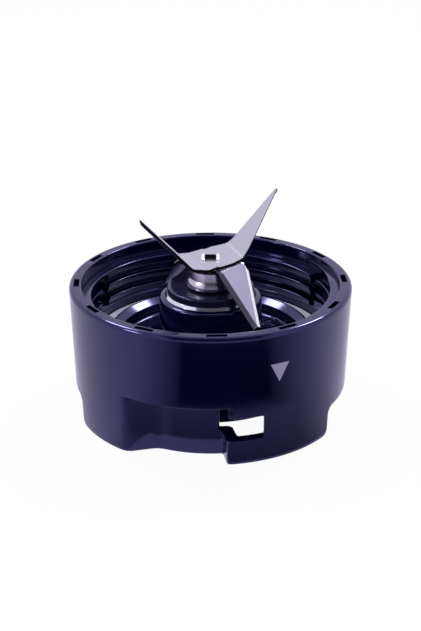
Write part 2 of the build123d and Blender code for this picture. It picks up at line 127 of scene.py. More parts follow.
def brushedMetalGroup():
    group, gin, gout = makeGroup(
        "brushedMetal",
        skinInputs + [("Turn", "NodeSocketVector", (0, 0, 0)), ("Stretch", "NodeSocketVector", (1, 1, 1))],
        skinOutputs)
    link = group.links.new
    coord = addNode(group, "ShaderNodeTexCoord").outputs["Object"]
    turn = addNode(group, "ShaderNodeMapping")
    link(coord, turn.inputs["Vector"])
    link(gin.outputs["Turn"], turn.inputs["Rotation"])
    stretch = addNode(group, "ShaderNodeVectorMath", operation="MULTIPLY")
    link(turn.outputs["Vector"], stretch.inputs[0])
    link(gin.outputs["Stretch"], stretch.inputs[1])
    streaks = noiseFrom(group, stretch.outputs["Vector"], 1.0, 4.0)
    patches = noiseFrom(group, coord, 180.0, 2.0)
    blend = addNode(group, "ShaderNodeMath", operation="MULTIPLY")
    link(streaks, blend.inputs[0])
    link(patches, blend.inputs[1])
    endSkin(group, gin, gout, streaks, blend.outputs[0], streaks)
    return group


mouldedSkin = mouldedSkinGroup()
brushedMetal = brushedMetalGroup()


def dress(tree, bsdf, skin, bump, depth):
    tree.links.new(skin.outputs["Color"], bsdf.inputs["Base Color"])
    tree.links.new(skin.outputs["Roughness"], bsdf.inputs["Roughness"])
    bumper = addNode(tree, "ShaderNodeBump")
    bumper.inputs["Strength"].default_value = bump
    bumper.inputs["Distance"].default_value = depth * mm
    tree.links.new(skin.outputs["Height"], bumper.inputs["Height"])
    tree.links.new(bumper.outputs["Normal"], bsdf.inputs["Normal"])


def moulded(name, dark, light, gloss, spread, grain, bump, ior=1.5, tint=(1, 1, 1)):
    material, tree, bsdf = newMaterial(name)
    skin = useGroup(tree, mouldedSkin, Dark=(*dark, 1), Light=(*light, 1),
                    Gloss=gloss, Spread=spread, Grain=grain)
    dress(tree, bsdf, skin, bump, 0.02)
    bsdf.inputs["IOR"].default_value = ior
    bsdf.inputs["Specular Tint"].default_value = (*tint, 1)
    return material


def metal(name, dark, light, gloss, spread, turn, stretch, bump=0.1):
    material, tree, bsdf = newMaterial(name)
    skin = useGroup(tree, brushedMetal, Dark=(*dark, 1), Light=(*light, 1), Gloss=gloss, Spread=spread,
                    Turn=(0, 0, -math.radians(turn)), Stretch=stretch)
    dress(tree, bsdf, skin, bump, 0.01)
    bsdf.inputs["Metallic"].default_value = 1.0
    return material


indigo = (0.44, 0.46, 1.0)
violet = (0.8, 0.76, 1.0)
turnedRings = (60, 60, 9000)
alongBlade = (300, 3000, 300)
finish = {
    "collar": moulded("collarPlastic", (0.0004, 0.0004, 0.016), (0.0006, 0.0006, 0.022), 0.1, 0.05, 900, 0.1,
                      1.78, indigo),
    "gasket": moulded("gasketSilicone", (0.64, 0.61, 0.82), (0.76, 0.73, 0.92), 0.3, 0.12, 700, 0.25,
                      1.5, violet),
    "cap": moulded("capPlastic", (0.007, 0.007, 0.026), (0.011, 0.011, 0.036), 0.22, 0.1, 1200, 0.15,
                   1.6, indigo),
    "plate": moulded("plateTexture", (0.008, 0.008, 0.012), (0.014, 0.014, 0.02), 0.42, 0.15, 1800, 0.7),
    "coupling": moulded("couplingNylon", (0.012, 0.012, 0.015), (0.024, 0.023, 0.027), 0.45, 0.15, 2600, 0.6),
    "seal": moulded("sealRubber", (0.006, 0.006, 0.007), (0.012, 0.012, 0.013), 0.5, 0.15, 1500, 0.5),
    "felt": moulded("oilFelt", (0.3, 0.26, 0.18), (0.5, 0.45, 0.34), 0.85, 0.1, 3500, 1.0),
    "mark": moulded("markInk", (0.27, 0.245, 0.42), (0.33, 0.3, 0.48), 0.45, 0.1, 2500, 0.3),
    "upper": metal("upperBladeSteel", (0.49, 0.51, 0.52), (0.56, 0.58, 0.575), 0.24, 0.14, 20.4,
                   alongBlade, 0.03),
    # painted light: the lower blade's steel is a brighter, bluer copy of the blade steel, toned to how its
    # faces catch the light
    "lower": metal("lowerBladeSteelLitTone", (0.68, 0.68, 0.8), (0.74, 0.74, 0.86), 0.11, 0.1, -42.5,
                   alongBlade, 0.03),
    # painted shade: near-black steel on the blades' upright edges
    "edge": metal("bladeEdgePaintedShade", (0.008, 0.008, 0.012), (0.02, 0.019, 0.026), 0.3, 0.2, 0,
                  (3000, 3000, 300), 0.3),
    # painted shade: dark steel in the head's slot
    "hollow": metal("slotPaintedShade", (0.05, 0.05, 0.06), (0.16, 0.16, 0.18), 0.25, 0.2, 0, (2500, 900, 300)),
    "head": metal("stakedSteel", (0.55, 0.54, 0.58), (0.68, 0.67, 0.7), 0.16, 0.12, 0, (900, 900, 900)),
    # painted highlight: near-white steel on the head's raised lobes and the lower blade's trailing bevel
    "ear": metal("earPaintedHighlight", (0.92, 0.94, 0.9), (0.97, 0.98, 0.94), 0.3, 0.1, 0, (900, 900, 900)),
    "bell": metal("bellSteel", (0.5, 0.48, 0.56), (0.64, 0.62, 0.7), 0.19, 0.12, 0, turnedRings),
    "ring": metal("ringSteel", (0.72, 0.75, 0.77), (0.82, 0.85, 0.87), 0.13, 0.06, 0, turnedRings, 0.02),
    "bright": metal("turnedSteel", (0.55, 0.54, 0.58), (0.68, 0.67, 0.7), 0.2, 0.15, 0, turnedRings),
    "spring": metal("springSteel", (0.38, 0.38, 0.4), (0.5, 0.5, 0.52), 0.28, 0.15, 0, turnedRings),
    "bronze": metal("sinteredBronze", (0.4, 0.25, 0.1), (0.56, 0.37, 0.17), 0.4, 0.2, 0,
                    (2500, 2500, 2500), 0.4),
    "brass": metal("turnedBrass", (0.6, 0.43, 0.16), (0.72, 0.54, 0.24), 0.22, 0.15, 0, turnedRings),
}
print("finishes made:", len(finish))


# mesh helpers, all sizes in millimetres

def polar(radius, degrees):
    return Vector((radius * math.sin(math.radians(degrees)), -radius * math.cos(math.radians(degrees))))


def spun(point, turn):
    x, y = point
    return x * math.cos(turn) - y * math.sin(turn), x * math.sin(turn) + y * math.cos(turn)


def arcBetween(start, end, centre, steps):
    a = math.atan2(start[1] - centre[1], start[0] - centre[0])
    sweep = math.atan2(end[1] - centre[1], end[0] - centre[0]) - a
    sweep = (sweep + math.pi) % (2 * math.pi) - math.pi
    radius = math.dist(start, centre)
    angles = [a + sweep * i / steps for i in range(steps + 1)]
    return [Vector((centre[0] + radius * math.cos(t), centre[1] + radius * math.sin(t))) for t in angles]


def cornerArc(before, here, after, radius, step):
    back = (Vector(before[:2]) - here).normalized()
    ahead = (Vector(after[:2]) - here).normalized()
    half = math.acos(max(-1, min(1, back.dot(ahead)))) / 2
    reach = radius / math.tan(half)
    centre = here + (back + ahead).normalized() * (radius / math.sin(half))
    steps = max(2, round(math.degrees(math.pi - 2 * half) / step))
    return arcBetween(here + back * reach, here + ahead * reach, centre, steps)


def roundedPath(corners, closed, step=12, support=0.25):
    # corners are (a, b, round); long runs get a point close to each rounding
    points = []
    count = len(corners)
    for i, (a, b, radius) in enumerate(corners):
        here = Vector((a, b))
        if radius <= 0 or (not closed and i in (0, count - 1)):
            points.append([here])
            continue
        points.append(cornerArc(corners[i - 1], here, corners[(i + 1) % count], radius, step))
    path = []
    for i, run in enumerate(points):
        path += run
        if not closed and i == count - 1:
            break
        start, end = run[-1], points[(i + 1) % count][0]
        length = (end - start).length
        if length > 4 * support:
            path += [start + (end - start) * (support / length), end - (end - start) * (support / length)]
    return path


def lathe(path, segments):
    verts, faces = [], []
    rows = len(path)
    for j in range(segments):
        turn = 2 * math.pi * j / segments
        verts += [(r * math.cos(turn), r * math.sin(turn), z) for r, z in path]
    for j in range(segments):
        here, there = j * rows, (j + 1) % segments * rows
        for i in range(rows):
            k = (i + 1) % rows
            faces.append((here + i, there + i, there + k, here + k))
    return verts, faces


def bandFaces(rows, width, closed=False):
    # quads between neighbouring rows of points
    faces = []
    for i in range(rows - 1):
        for k in range(width if closed else width - 1):
            n = (k + 1) % width
            faces.append((i * width + k, i * width + n, (i + 1) * width + n, (i + 1) * width + k))
    return faces


def joined(*parts):
    verts, faces = [], []
    for partVerts, partFaces in parts:
        base = len(verts)
        verts += partVerts
        faces += [tuple(base + i for i in face) for face in partFaces]
    return verts, faces


def shifted(part, dx):
    return [(x + dx, y, z) for x, y, z in part[0]], part[1]


def block(x0, x1, y0, y1, z0, z1):
    verts = [(x, y, z) for z in (z0, z1) for x, y in ((x0, y0), (x1, y0), (x1, y1), (x0, y1))]
    return verts, [(3, 2, 1, 0), (4, 5, 6, 7), (0, 1, 5, 4), (1, 2, 6, 5), (2, 3, 7, 6), (3, 0, 4, 7)]


def meshFrom(name, part, sharp=35, fill=False):
    bm = bmesh.new()
    made = [bm.verts.new(Vector(v) * mm) for v in part[0]]
    for face in part[1]:
        ring = [made[i] for i in dict.fromkeys(face)]
        if len(ring) > 2:
            bm.faces.new(ring)
    bmesh.ops.remove_doubles(bm, verts=bm.verts, dist=0.0002 * mm)
    bmesh.ops.dissolve_degenerate(bm, edges=bm.edges, dist=0.0001 * mm)
    if fill:
        bmesh.ops.holes_fill(bm, edges=[e for e in bm.edges if e.is_boundary], sides=0)
    bmesh.ops.delete(bm, geom=[v for v in bm.verts if not v.link_faces], context="VERTS")
    bmesh.ops.recalc_face_normals(bm, faces=bm.faces)
    mesh = bpy.data.meshes.new(name)
    bm.to_mesh(mesh)
    bm.free()
    smooth(mesh, sharp)
    return mesh


def smooth(mesh, sharp):
    for face in mesh.polygons:
        face.use_smooth = True
    mesh.set_sharp_from_angle(angle=math.radians(sharp))


def linked(name, data):
    obj = bpy.data.objects.new(name, data)
    bpy.context.scene.collection.objects.link(obj)
    return obj


def newPiece(name, part, sharp=35, fill=False):
    return linked(name, meshFrom(name, part, sharp, fill))


def turnedPiece(name, path, segments):
    return newPiece(name, lathe(path, segments))


def applied(obj):
    # turns the evaluated object into a plain mesh without modifiers
    bpy.context.view_layer.update()
    evaluated = obj.evaluated_get(bpy.context.evaluated_depsgraph_get())
    mesh = bpy.data.meshes.new_from_object(evaluated)
    obj.modifiers.clear()
    obj.data = mesh
    return obj


def cutOut(obj, cutter):
    cut = obj.modifiers.new(cutter.name, "BOOLEAN")
    cut.operation, cut.solver, cut.object = "DIFFERENCE", "EXACT", cutter
    applied(obj)
    bpy.data.objects.remove(cutter)


def finished(obj, material, body, slot, *replaced):
    obj.data.materials.clear()
    obj.data.materials.append(finish[material])
    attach(obj, body)
    if replaced:
        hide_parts(*replaced)
    print("piece", obj.name, len(obj.data.polygons), "faces")


def finishedCollar(obj):
    finished(obj, "collar", "collar", "black_plastic", "collar_housing")


# ring tree: copies the incoming piece round the Z axis

def ringTree():
    tree, gin, gout = makeGroup(
        "ringOfPieces",
        [("Piece", "NodeSocketGeometry", None), ("Count", "NodeSocketInt", 6),
         ("First Angle", "NodeSocketFloat", 0.0), ("Finish", "NodeSocketMaterial", None)],
        [("Ring", "NodeSocketGeometry")], "GeometryNodeTree")
    link = tree.links.new
    spots = addNode(tree, "GeometryNodePoints")
    link(gin.outputs["Count"], spots.inputs["Count"])
    step = addNode(tree, "ShaderNodeMath", operation="DIVIDE")
    step.inputs[0].default_value = 2 * math.pi
    link(gin.outputs["Count"], step.inputs[1])
    turn = addNode(tree, "ShaderNodeMath", operation="MULTIPLY_ADD")
    link(addNode(tree, "GeometryNodeInputIndex").outputs[0], turn.inputs[0])
    link(step.outputs[0], turn.inputs[1])
    link(gin.outputs["First Angle"], turn.inputs[2])
    about = addNode(tree, "ShaderNodeCombineXYZ")
    link(turn.outputs[0], about.inputs["Z"])
    copies = addNode(tree, "GeometryNodeInstanceOnPoints")
    link(spots.outputs[0], copies.inputs["Points"])
    link(gin.outputs["Piece"], copies.inputs["Instance"])
    link(about.outputs[0], copies.inputs["Rotation"])
    real = addNode(tree, "GeometryNodeRealizeInstances")
    link(copies.outputs[0], real.inputs[0])
    paint = addNode(tree, "GeometryNodeSetMaterial")
    link(real.outputs[0], paint.inputs["Geometry"])
    link(gin.outputs["Finish"], paint.inputs["Material"])
    link(paint.outputs[0], gout.inputs["Ring"])
    return tree


def setInputs(modifier, **values):
    for item in modifier.node_group.interface.items_tree:
        key = item.name.replace(" ", "")
        if item.in_out == "INPUT" and key in values:
            modifier[item.identifier] = values[key]


ringOfPieces = ringTree()


def ringOf(name, part, count, firstAngle, material):
    # the piece is drawn on the +X side; angles count from the front (-Y)
    obj = newPiece(name, part)
    modifier = obj.modifiers.new("ring", "NODES")
    modifier.node_group = ringOfPieces
    setInputs(modifier, Count=count, FirstAngle=math.radians(firstAngle - 90), Finish=finish[material])
    return applied(obj)


# collar: the turned body with rim, gasket channel, lip, bowl floor, boss and guard ring

collar = {
    "rimHeight": 41.0, "rimRadius": 43.0, "mouth": 39.2, "rimRound": 1.2, "footRadius": 41.5,
    "channelFloor": 20.6, "channelTop": 24.6, "channelRadius": 36.6,
    "lipOuter": 31.2, "lipInner": 28.0, "lipTop": 25.2, "lipCrest": 30.3, "lipFoot": 23.75,
    "floorTop": 20.2, "floorBottom": 17.8, "bossRadius": 15.8, "bossTop": 37.3, "bossEdge": 36.2,
    "bossFlat": 13.3, "bossStep": 13.85, "bossStepTop": 36.66,
    "counterbore": 11.45, "seat": 33.65, "bore": 9.02,
    "tubeBottom": 11.5, "tubeRadius": 11.2, "coreTop": 31.5, "coreRadius": 13.6,
    "guardOuter": 28.0, "guardInner": 26.0, "guardBottom": 6.8, "ledge": 18.35, "ledgeRound": 0.35,
    "segments": 288,
}
pockets = {"count": 12, "first": 2.5, "length": 5.9, "width": 1.6, "depth": 2.2, "radius": 40.7}


def collarProfile():
    c = collar
    ledgeRadius = c["footRadius"] + (c["rimRadius"] - c["footRadius"]) * c["ledge"] / c["rimHeight"]
    return [
        (c["rimRadius"], c["rimHeight"], c["rimRound"]),
        (c["mouth"], c["rimHeight"], 0.4),
        (c["mouth"], c["channelTop"] + c["mouth"] - c["channelRadius"], 0.6),
        (c["channelRadius"], c["channelTop"], 0.4),
        (c["channelRadius"], c["channelFloor"], 0.0),
        (c["lipOuter"], c["channelFloor"], 0.0),
        (c["lipOuter"], c["lipTop"], 0.6),
        (c["lipCrest"], c["lipTop"], 0.25),
        (c["lipInner"], c["lipFoot"], 0.3),
        (c["lipInner"], c["floorTop"], 1.0),
        (c["bossRadius"], c["floorTop"], 2.0),
        (c["bossRadius"] - 0.2, c["bossEdge"], 0.8),
        (c["bossStep"], c["bossStepTop"], 0.1),
        (c["bossFlat"], c["bossTop"], 0.15),
        (c["counterbore"], c["bossTop"], 0.2),
        (c["counterbore"], c["seat"], 0.0),
        (c["bore"], c["seat"], 0.0),
        (c["bore"], c["tubeBottom"], 0.0),
        (c["tubeRadius"], c["tubeBottom"], 0.2),
        (c["tubeRadius"], c["coreTop"], 0.0),
        (c["coreRadius"], c["coreTop"], 0.0),
        (c["coreRadius"], c["floorBottom"], 0.0),
        (c["guardInner"], c["floorBottom"], 0.0),
        (c["guardInner"], c["guardBottom"], 0.4),
        (c["guardOuter"], c["guardBottom"], 0.4),
        (c["guardOuter"], c["ledge"], 0.0),
        (ledgeRadius, c["ledge"], c["ledgeRound"]),
    ]


def buildCollarBody():
    obj = turnedPiece("collar_body", roundedPath(collarProfile(), True, 9), collar["segments"])
    p = pockets
    cutter = block(p["radius"] - p["width"] / 2, p["radius"] + p["width"] / 2,
                   -p["length"] / 2, p["length"] / 2,
                   collar["rimHeight"] - p["depth"], collar["rimHeight"] + 1)
    cutOut(obj, ringOf("pocket_cutters", cutter, p["count"], p["first"], "collar"))
    smooth(obj.data, 35)
    finishedCollar(obj)


# skirt: outer and inner sheets over one plan, joined round every cut by a rounded edge

skirt = {
    "wall": 3.3, "recess": 34.6, "rampTop": -36.4, "rampFoot": -26.3, "riserFoot": 6.05, "riserTop": 6.7,
    "outerRounds": (4.0, 6.0, 0.6, 0.9), "innerRounds": (1.0, 9.0, 2.1, 0.7),
    "cutStart": 57.8, "cutEnd": 110.8, "cutTop": 9.0, "cutRound": 2.5, "footRound": 2.4,
    "slotLeft": 2.6, "slotNose": 4.9, "slotRight": 15.4, "slotSill": 7.75, "slotHead": 14.9,
    "slotRound": 0.5, "noseRound": 1.2, "edge": 0.35, "edgeSteps": 4, "cover": 1.2, "proud": 0.004,
    "meshStep": 1.0, "arcSteps": 500,
}


def lineCircleRound(start, along, circle, radius, convex, near):
    # rounds the corner between a straight run and an arc about the axis
    inward = Vector((-along.y, along.x))
    side = 1 if convex else -1
    base = start + inward * (side * radius)
    reach = circle - side * radius
    middle = base.dot(along)
    root = math.sqrt(middle * middle - base.length_squared + reach * reach)
    spots = [base + along * (-middle + sign * root) for sign in (-1, 1)]
    centre = min(spots, key=lambda p: (p - near).length)
    return centre * (circle / centre.length), centre - inward * (side * radius), centre


def axisArc(start, end, steps):
    return arcBetween(start, end, (0, 0), steps)


def skirtPlan(inset, rounds):
    s = skirt
    flush = collar["footRadius"] - inset
    recess = s["recess"] - inset
    middle = (s["cutStart"] + s["cutEnd"]) / 2
    shape = []
    for startRadius, startAngle, endRadius, endAngle in (
            (collar["footRadius"], s["rampTop"], s["recess"], s["rampFoot"]),
            (s["recess"], s["riserFoot"], collar["footRadius"], s["riserTop"])):
        start, end = polar(startRadius, startAngle), polar(endRadius, endAngle)
        along = (end - start).normalized()
        start = start + Vector((-along.y, along.x)) * inset
        shape.append((start, along))
    (rampStart, rampAlong), (riserStart, riserAlong) = shape
    near = {key: polar(flush if key.endswith("Top") else recess, s[key])
            for key in ("rampTop", "rampFoot", "riserFoot", "riserTop")}
    rampTop = lineCircleRound(rampStart, rampAlong, flush, rounds[0], True, near["rampTop"])
    rampFoot = lineCircleRound(rampStart, rampAlong, recess, rounds[1], False, near["rampFoot"])
    riserFoot = lineCircleRound(riserStart, riserAlong, recess, rounds[2], False, near["riserFoot"])
    riserTop = lineCircleRound(riserStart, riserAlong, flush, rounds[3], True, near["riserTop"])
    runs = [
        axisArc(polar(flush, middle - 180), rampTop[0], s["arcSteps"]),
        arcBetween(rampTop[0], rampTop[1], rampTop[2], 60),
        [rampTop[1].lerp(rampFoot[1], i / 60) for i in range(61)],
        arcBetween(rampFoot[1], rampFoot[0], rampFoot[2], 60),
        axisArc(rampFoot[0], riserFoot[0], 200),
        arcBetween(riserFoot[0], riserFoot[1], riserFoot[2], 30),
        [riserFoot[1].lerp(riserTop[1], i / 60) for i in range(61)],
        arcBetween(riserTop[1], riserTop[0], riserTop[2], 30),
        axisArc(riserTop[0], polar(flush, middle), s["arcSteps"]),
    ]
    points = [p for run in runs for p in run[:-1]] + [runs[-1][-1]]
    lengths = [0.0]
    for a, b in zip(points, points[1:]):
        lengths.append(lengths[-1] + (b - a).length)
    return {"points": points, "lengths": lengths}


def growth(z):
    return 1 + (collar["rimRadius"] - collar["footRadius"]) / collar["footRadius"] * z / collar["rimHeight"]


def planIndex(plan, length):
    i = min(max(bisect.bisect_right(plan["lengths"], length) - 1, 0), len(plan["points"]) - 2)
    span = plan["lengths"][i + 1] - plan["lengths"][i]
    return i + (length - plan["lengths"][i]) / span


def atIndex(values, index):
    i = min(int(index), len(values) - 2)
    return values[i] + (values[i + 1] - values[i]) * (index - i)


def onSheet(plan, length, z, proud=0.0):
    spot = atIndex(plan["points"], planIndex(plan, length)) * growth(z)
    spot = spot * (1 + proud / spot.length)
    return Vector((spot.x, spot.y, z))


def lengthAtX(plan, x, z):
    # the front stretch, where X only grows along the plan
    front = [i for i, p in enumerate(plan["points"]) if p.y < 0 and -2 < p.x < 22]
    target = x / growth(z)
    xs = [plan["points"][i].x for i in front]
    k = min(max(bisect.bisect_right(xs, target) - 1, 0), len(xs) - 2)
    share = (target - xs[k]) / (xs[k + 1] - xs[k])
    return atIndex(plan["lengths"], front[k] + share)


def spaced(path, step):
    dense = [path[0]]
    for end in path[1:]:
        start = dense[-1]
        count = max(1, round((end - start).length / step))
        dense += [start.lerp(end, i / count) for i in range(1, count + 1)]
    return dense


def cutChains(outer, inner):
    # each chain: matched (length, height) points on the outer and the inner sheet
    s = skirt
    top = collar["ledge"] + s["cover"]
    steps = s["arcSteps"]
    halfCut = (s["cutEnd"] - s["cutStart"]) / 2
    lengths = outer["lengths"]
    total = lengths[-1]
    lowLeft = atIndex(lengths, steps * halfCut / math.degrees(angleSpan(outer, 0, steps)))
    lowRight = total - (total - lengths[-1 - steps]) * (
        halfCut / math.degrees(angleSpan(outer, -1 - steps, -1)))
    foot = roundedPath([
        (0, s["cutTop"], 0), (lowLeft, s["cutTop"], s["cutRound"]), (lowLeft, 0, s["footRound"]),
        (lowRight, 0, s["footRound"]), (lowRight, s["cutTop"], s["cutRound"]), (total, s["cutTop"], 0)],
        False, 10, 0.5)
    footOuter = spaced(foot, s["meshStep"])
    footInner = [Vector((atIndex(inner["lengths"], planIndex(outer, p.x)), p.y)) for p in footOuter]
    slot = roundedPath([
        (s["slotNose"], top, 0), (s["slotNose"], s["slotHead"], s["noseRound"]),
        (s["slotRight"], s["slotHead"], s["slotRound"]), (s["slotRight"], s["slotSill"], s["slotRound"]),
        (s["slotLeft"], s["slotSill"], s["slotRound"]), (s["slotLeft"], top, 0)], False, 12, 0.4)
    slot = spaced(slot, s["meshStep"] * 0.6)
    slotOuter = [Vector((lengthAtX(outer, p.x, p.y), p.y)) for p in slot]
    slotInner = [Vector((lengthAtX(inner, p.x, p.y), p.y)) for p in slot]
    return (footOuter, footInner), (slotOuter, slotInner)


def angleSpan(plan, first, last):
    a, b = plan["points"][first], plan["points"][last]
    return a.angle(b)


def insetChain(chain, amount):
    moved = []
    for i, p in enumerate(chain):
        before = (p - chain[i - 1]).normalized() if i else None
        after = (chain[i + 1] - p).normalized() if i < len(chain) - 1 else None
        before, after = before or after, after or before
        left = Vector((-before.y - after.y, before.x + after.x)).normalized()
        stretch = max(0.5, left.dot(Vector((-after.y, after.x))))
        moved.append(p + left * (amount / stretch))
    return moved


def insideDistance(point, loop):
    best = 1e9
    for a, b in zip(loop, loop[1:] + loop[:1]):
        run = b - a
        share = max(0, min(1, (point - a).dot(run) / max(run.length_squared, 1e-12)))
        best = min(best, (point - a - run * share).length_squared)
    return math.sqrt(best)


def sheetMesh(plan, footChain, slotChain, proud):
    # fills the sheet's outline in (length, height) with even triangles
    step = skirt["meshStep"]
    top = collar["ledge"] + skirt["cover"]
    total = plan["lengths"][-1]
    right = spaced([Vector((total, footChain[-1].y)), Vector((total, top))], step)
    upper = spaced([right[-1], Vector((slotChain[0].x, top))], step)
    rest = spaced([Vector((slotChain[-1].x, top)), Vector((0, top))], step)
    left = spaced([rest[-1], Vector((0, footChain[0].y))], step)
    loop = footChain + right[1:] + upper[1:-1] + slotChain + rest[1:] + left[1:-1]
    inside = []
    rows = int(top / step)
    for i in range(1, int(total / step)):
        for k in range(rows):
            spot = Vector(((i + 0.5 * (k % 2)) * step, (k + 0.5) * step))
            if insideDistance(spot, loop) > 0.6 * step:
                inside.append(spot)
    ring = list(range(len(loop)))
    flat = delaunay_2d_cdt(loop + inside, [], [ring], 1, 1e-6)
    verts = [tuple(onSheet(plan, p.x, p.y, proud)) for p in flat[0]]
    return verts, [tuple(face) for face in flat[2]]


def edgeStrip(outer, inner, outerChain, innerChain, outerInset, innerInset, proud):
    rows = []
    steps = skirt["edgeSteps"]
    edge = skirt["edge"]
    for p, q, pIn, qIn in zip(outerChain, innerChain, outerInset, innerInset):
        a, b = onSheet(outer, p.x, p.y, proud), onSheet(inner, q.x, q.y)
        through = (b - a).normalized()
        row = []
        for corner, face, sign, order in ((a, onSheet(outer, pIn.x, pIn.y, proud), 1, 1),
                                          (b, onSheet(inner, qIn.x, qIn.y), -1, -1)):
            arc = []
            for i in range(steps + 1):
                t = math.pi / 2 * i / steps
                arc.append(corner + (face - corner) * (1 - math.sin(t))
                           + through * (sign * edge * (1 - math.cos(t))))
            row += arc[::order]
        rows.append(row)
    return [tuple(p) for row in rows for p in row], bandFaces(len(rows), len(rows[0]))


def buildSkirt():
    outer = skirtPlan(0.0, skirt["outerRounds"])
    inner = skirtPlan(skirt["wall"], skirt["innerRounds"])
    proud = skirt["proud"]
    chains = cutChains(outer, inner)
    insets = [(insetChain(a, skirt["edge"]), insetChain(b, skirt["edge"])) for a, b in chains]
    parts = [sheetMesh(outer, insets[0][0], insets[1][0], proud),
             sheetMesh(inner, insets[0][1], insets[1][1], 0.0)]
    for (a, b), (aIn, bIn) in zip(chains, insets):
        parts.append(edgeStrip(outer, inner, a, b, aIn, bIn, proud))
    half = joined(*parts)
    whole = joined(half, ([(-x, -y, z) for x, y, z in half[0]], half[1]))
    finishedCollar(newPiece("collar_skirt", whole, 35, True))


# jar thread: a ridge swept along a helix that sinks into the wall at both ends

thread = {"crestRadius": 36.2, "depth": 3.15, "pitch": 4.5, "turns": 3.1, "topAngle": 131.0,
          "topHeight": 38.5, "root": 3.1, "crest": 1.0, "round": 0.3, "fadeTop": 0.032, "fadeFoot": 0.02,
          "perTurn": 180, "gapAngles": (116.5, -114.5), "gapWidth": 5.0, "gapTop": 35.5, "gapFoot": 24.0}


def threadTree():
    sizes = ("Radius", "Depth", "Pitch", "Turns", "Start Angle", "Start Height", "Root", "Crest", "Round",
             "Fade Top", "Fade Foot")
    tree, gin, gout = makeGroup(
        "threadRidge",
        [("Path", "NodeSocketGeometry", None), *((label, "NodeSocketFloat", 0.0) for label in sizes),
         ("Steps", "NodeSocketInt", 100), ("Finish", "NodeSocketMaterial", None)],
        [("Ridge", "NodeSocketGeometry")], "GeometryNodeTree")
    link = tree.links.new

    def feed(socket, value):
        if isinstance(value, (int, float)):
            socket.default_value = value
        else:
            link(value, socket)

    def calc(operation, *values):
        node = addNode(tree, "ShaderNodeMath", operation=operation)
        for socket, value in zip(node.inputs, values):
            feed(socket, value)
        return node.outputs[0]

    def ramp(*values):
        node = addNode(tree, "ShaderNodeMapRange")
        for label, value in zip(("Value", "From Min", "From Max", "To Min", "To Max"), values):
            feed(node.inputs[label], value)
        return node.outputs["Result"]

    line = addNode(tree, "GeometryNodeCurvePrimitiveLine")
    path = addNode(tree, "GeometryNodeResampleCurve")
    link(line.outputs["Curve"], path.inputs["Curve"])
    link(gin.outputs["Steps"], path.inputs["Count"])
    share = addNode(tree, "GeometryNodeSplineParameter").outputs["Factor"]
    fullTop = ramp(share, calc("SUBTRACT", 1.0, gin.outputs["Fade Top"]), 1.0, 1.0, 0.02)
    fullFoot = ramp(share, 0.0, gin.outputs["Fade Foot"], 0.02, 1.0)
    full = calc("MULTIPLY", fullTop, fullFoot)
    middle = calc("MULTIPLY", calc("MULTIPLY", full, gin.outputs["Depth"]), 0.5)
    reach = calc("SUBTRACT", gin.outputs["Radius"], middle)
    turned = calc("MULTIPLY", share, gin.outputs["Turns"])
    angle = calc("MULTIPLY_ADD", turned, 2 * math.pi, gin.outputs["Start Angle"])
    spot = addNode(tree, "ShaderNodeCombineXYZ")
    link(calc("MULTIPLY", calc("COSINE", angle), reach), spot.inputs["X"])
    link(calc("MULTIPLY", calc("SINE", angle), reach), spot.inputs["Y"])
    link(calc("MULTIPLY_ADD", turned, gin.outputs["Pitch"], gin.outputs["Start Height"]), spot.inputs["Z"])
    wound = addNode(tree, "GeometryNodeSetPosition")
    link(path.outputs["Curve"], wound.inputs["Geometry"])
    link(spot.outputs[0], wound.inputs["Position"])
    level = addNode(tree, "GeometryNodeSetCurveNormal", mode="Z_UP")
    link(wound.outputs["Geometry"], level.inputs["Curve"])
    section = addNode(tree, "GeometryNodeCurvePrimitiveQuadrilateral", mode="TRAPEZOID")
    link(gin.outputs["Root"], section.inputs["Bottom Width"])
    link(gin.outputs["Crest"], section.inputs["Top Width"])
    link(gin.outputs["Depth"], section.inputs["Height"])
    section.inputs["Offset"].default_value = 0.0
    eased = addNode(tree, "GeometryNodeFilletCurve", mode="POLY")
    link(section.outputs["Curve"], eased.inputs["Curve"])
    link(gin.outputs["Round"], eased.inputs["Radius"])
    eased.inputs["Count"].default_value = 4
    ridge = addNode(tree, "GeometryNodeCurveToMesh")
    link(level.outputs["Curve"], ridge.inputs["Curve"])
    link(eased.outputs["Curve"], ridge.inputs["Profile Curve"])
    link(full, ridge.inputs["Scale"])
    ridge.inputs["Fill Caps"].default_value = True
    real = addNode(tree, "GeometryNodeRealizeInstances")
    link(ridge.outputs["Mesh"], real.inputs[0])
    paint = addNode(tree, "GeometryNodeSetMaterial")
    link(real.outputs[0], paint.inputs["Geometry"])
    link(gin.outputs["Finish"], paint.inputs["Material"])
    link(paint.outputs[0], gout.inputs["Ridge"])
    return tree


def buildThread():
    t = thread
    obj = linked("jar_thread", bpy.data.meshes.new("jar_thread"))
    modifier = obj.modifiers.new("ridge", "NODES")
    modifier.node_group = threadTree()
    setInputs(
        modifier, Radius=(t["crestRadius"] + t["depth"]) * mm, Depth=t["depth"] * mm,
        Pitch=t["pitch"] * mm, Turns=t["turns"],
        StartAngle=math.radians(t["topAngle"] - 90 - 360 * t["turns"]),
        StartHeight=(t["topHeight"] - t["pitch"] * t["turns"]) * mm,
        Root=t["root"] * mm, Crest=t["crest"] * mm, Round=t["round"] * mm,
        FadeTop=t["fadeTop"], FadeFoot=t["fadeFoot"],
        Steps=round(t["turns"] * t["perTurn"]), Finish=finish["collar"])
    applied(obj)
    for angle in t["gapAngles"]:
        turn = math.radians(angle - 90)
        verts, faces = block(t["crestRadius"] - 1, t["crestRadius"] + t["depth"] + 1,
                             -t["gapWidth"] / 2, t["gapWidth"] / 2, t["gapFoot"], t["gapTop"])
        verts = [(*spun((x, y), turn), z) for x, y, z in verts]
        cutOut(obj, newPiece("thread_gap", (verts, faces)))
    smooth(obj.data, 40)
    finishedCollar(obj)


# bowl pads, ribs and posts of the collar

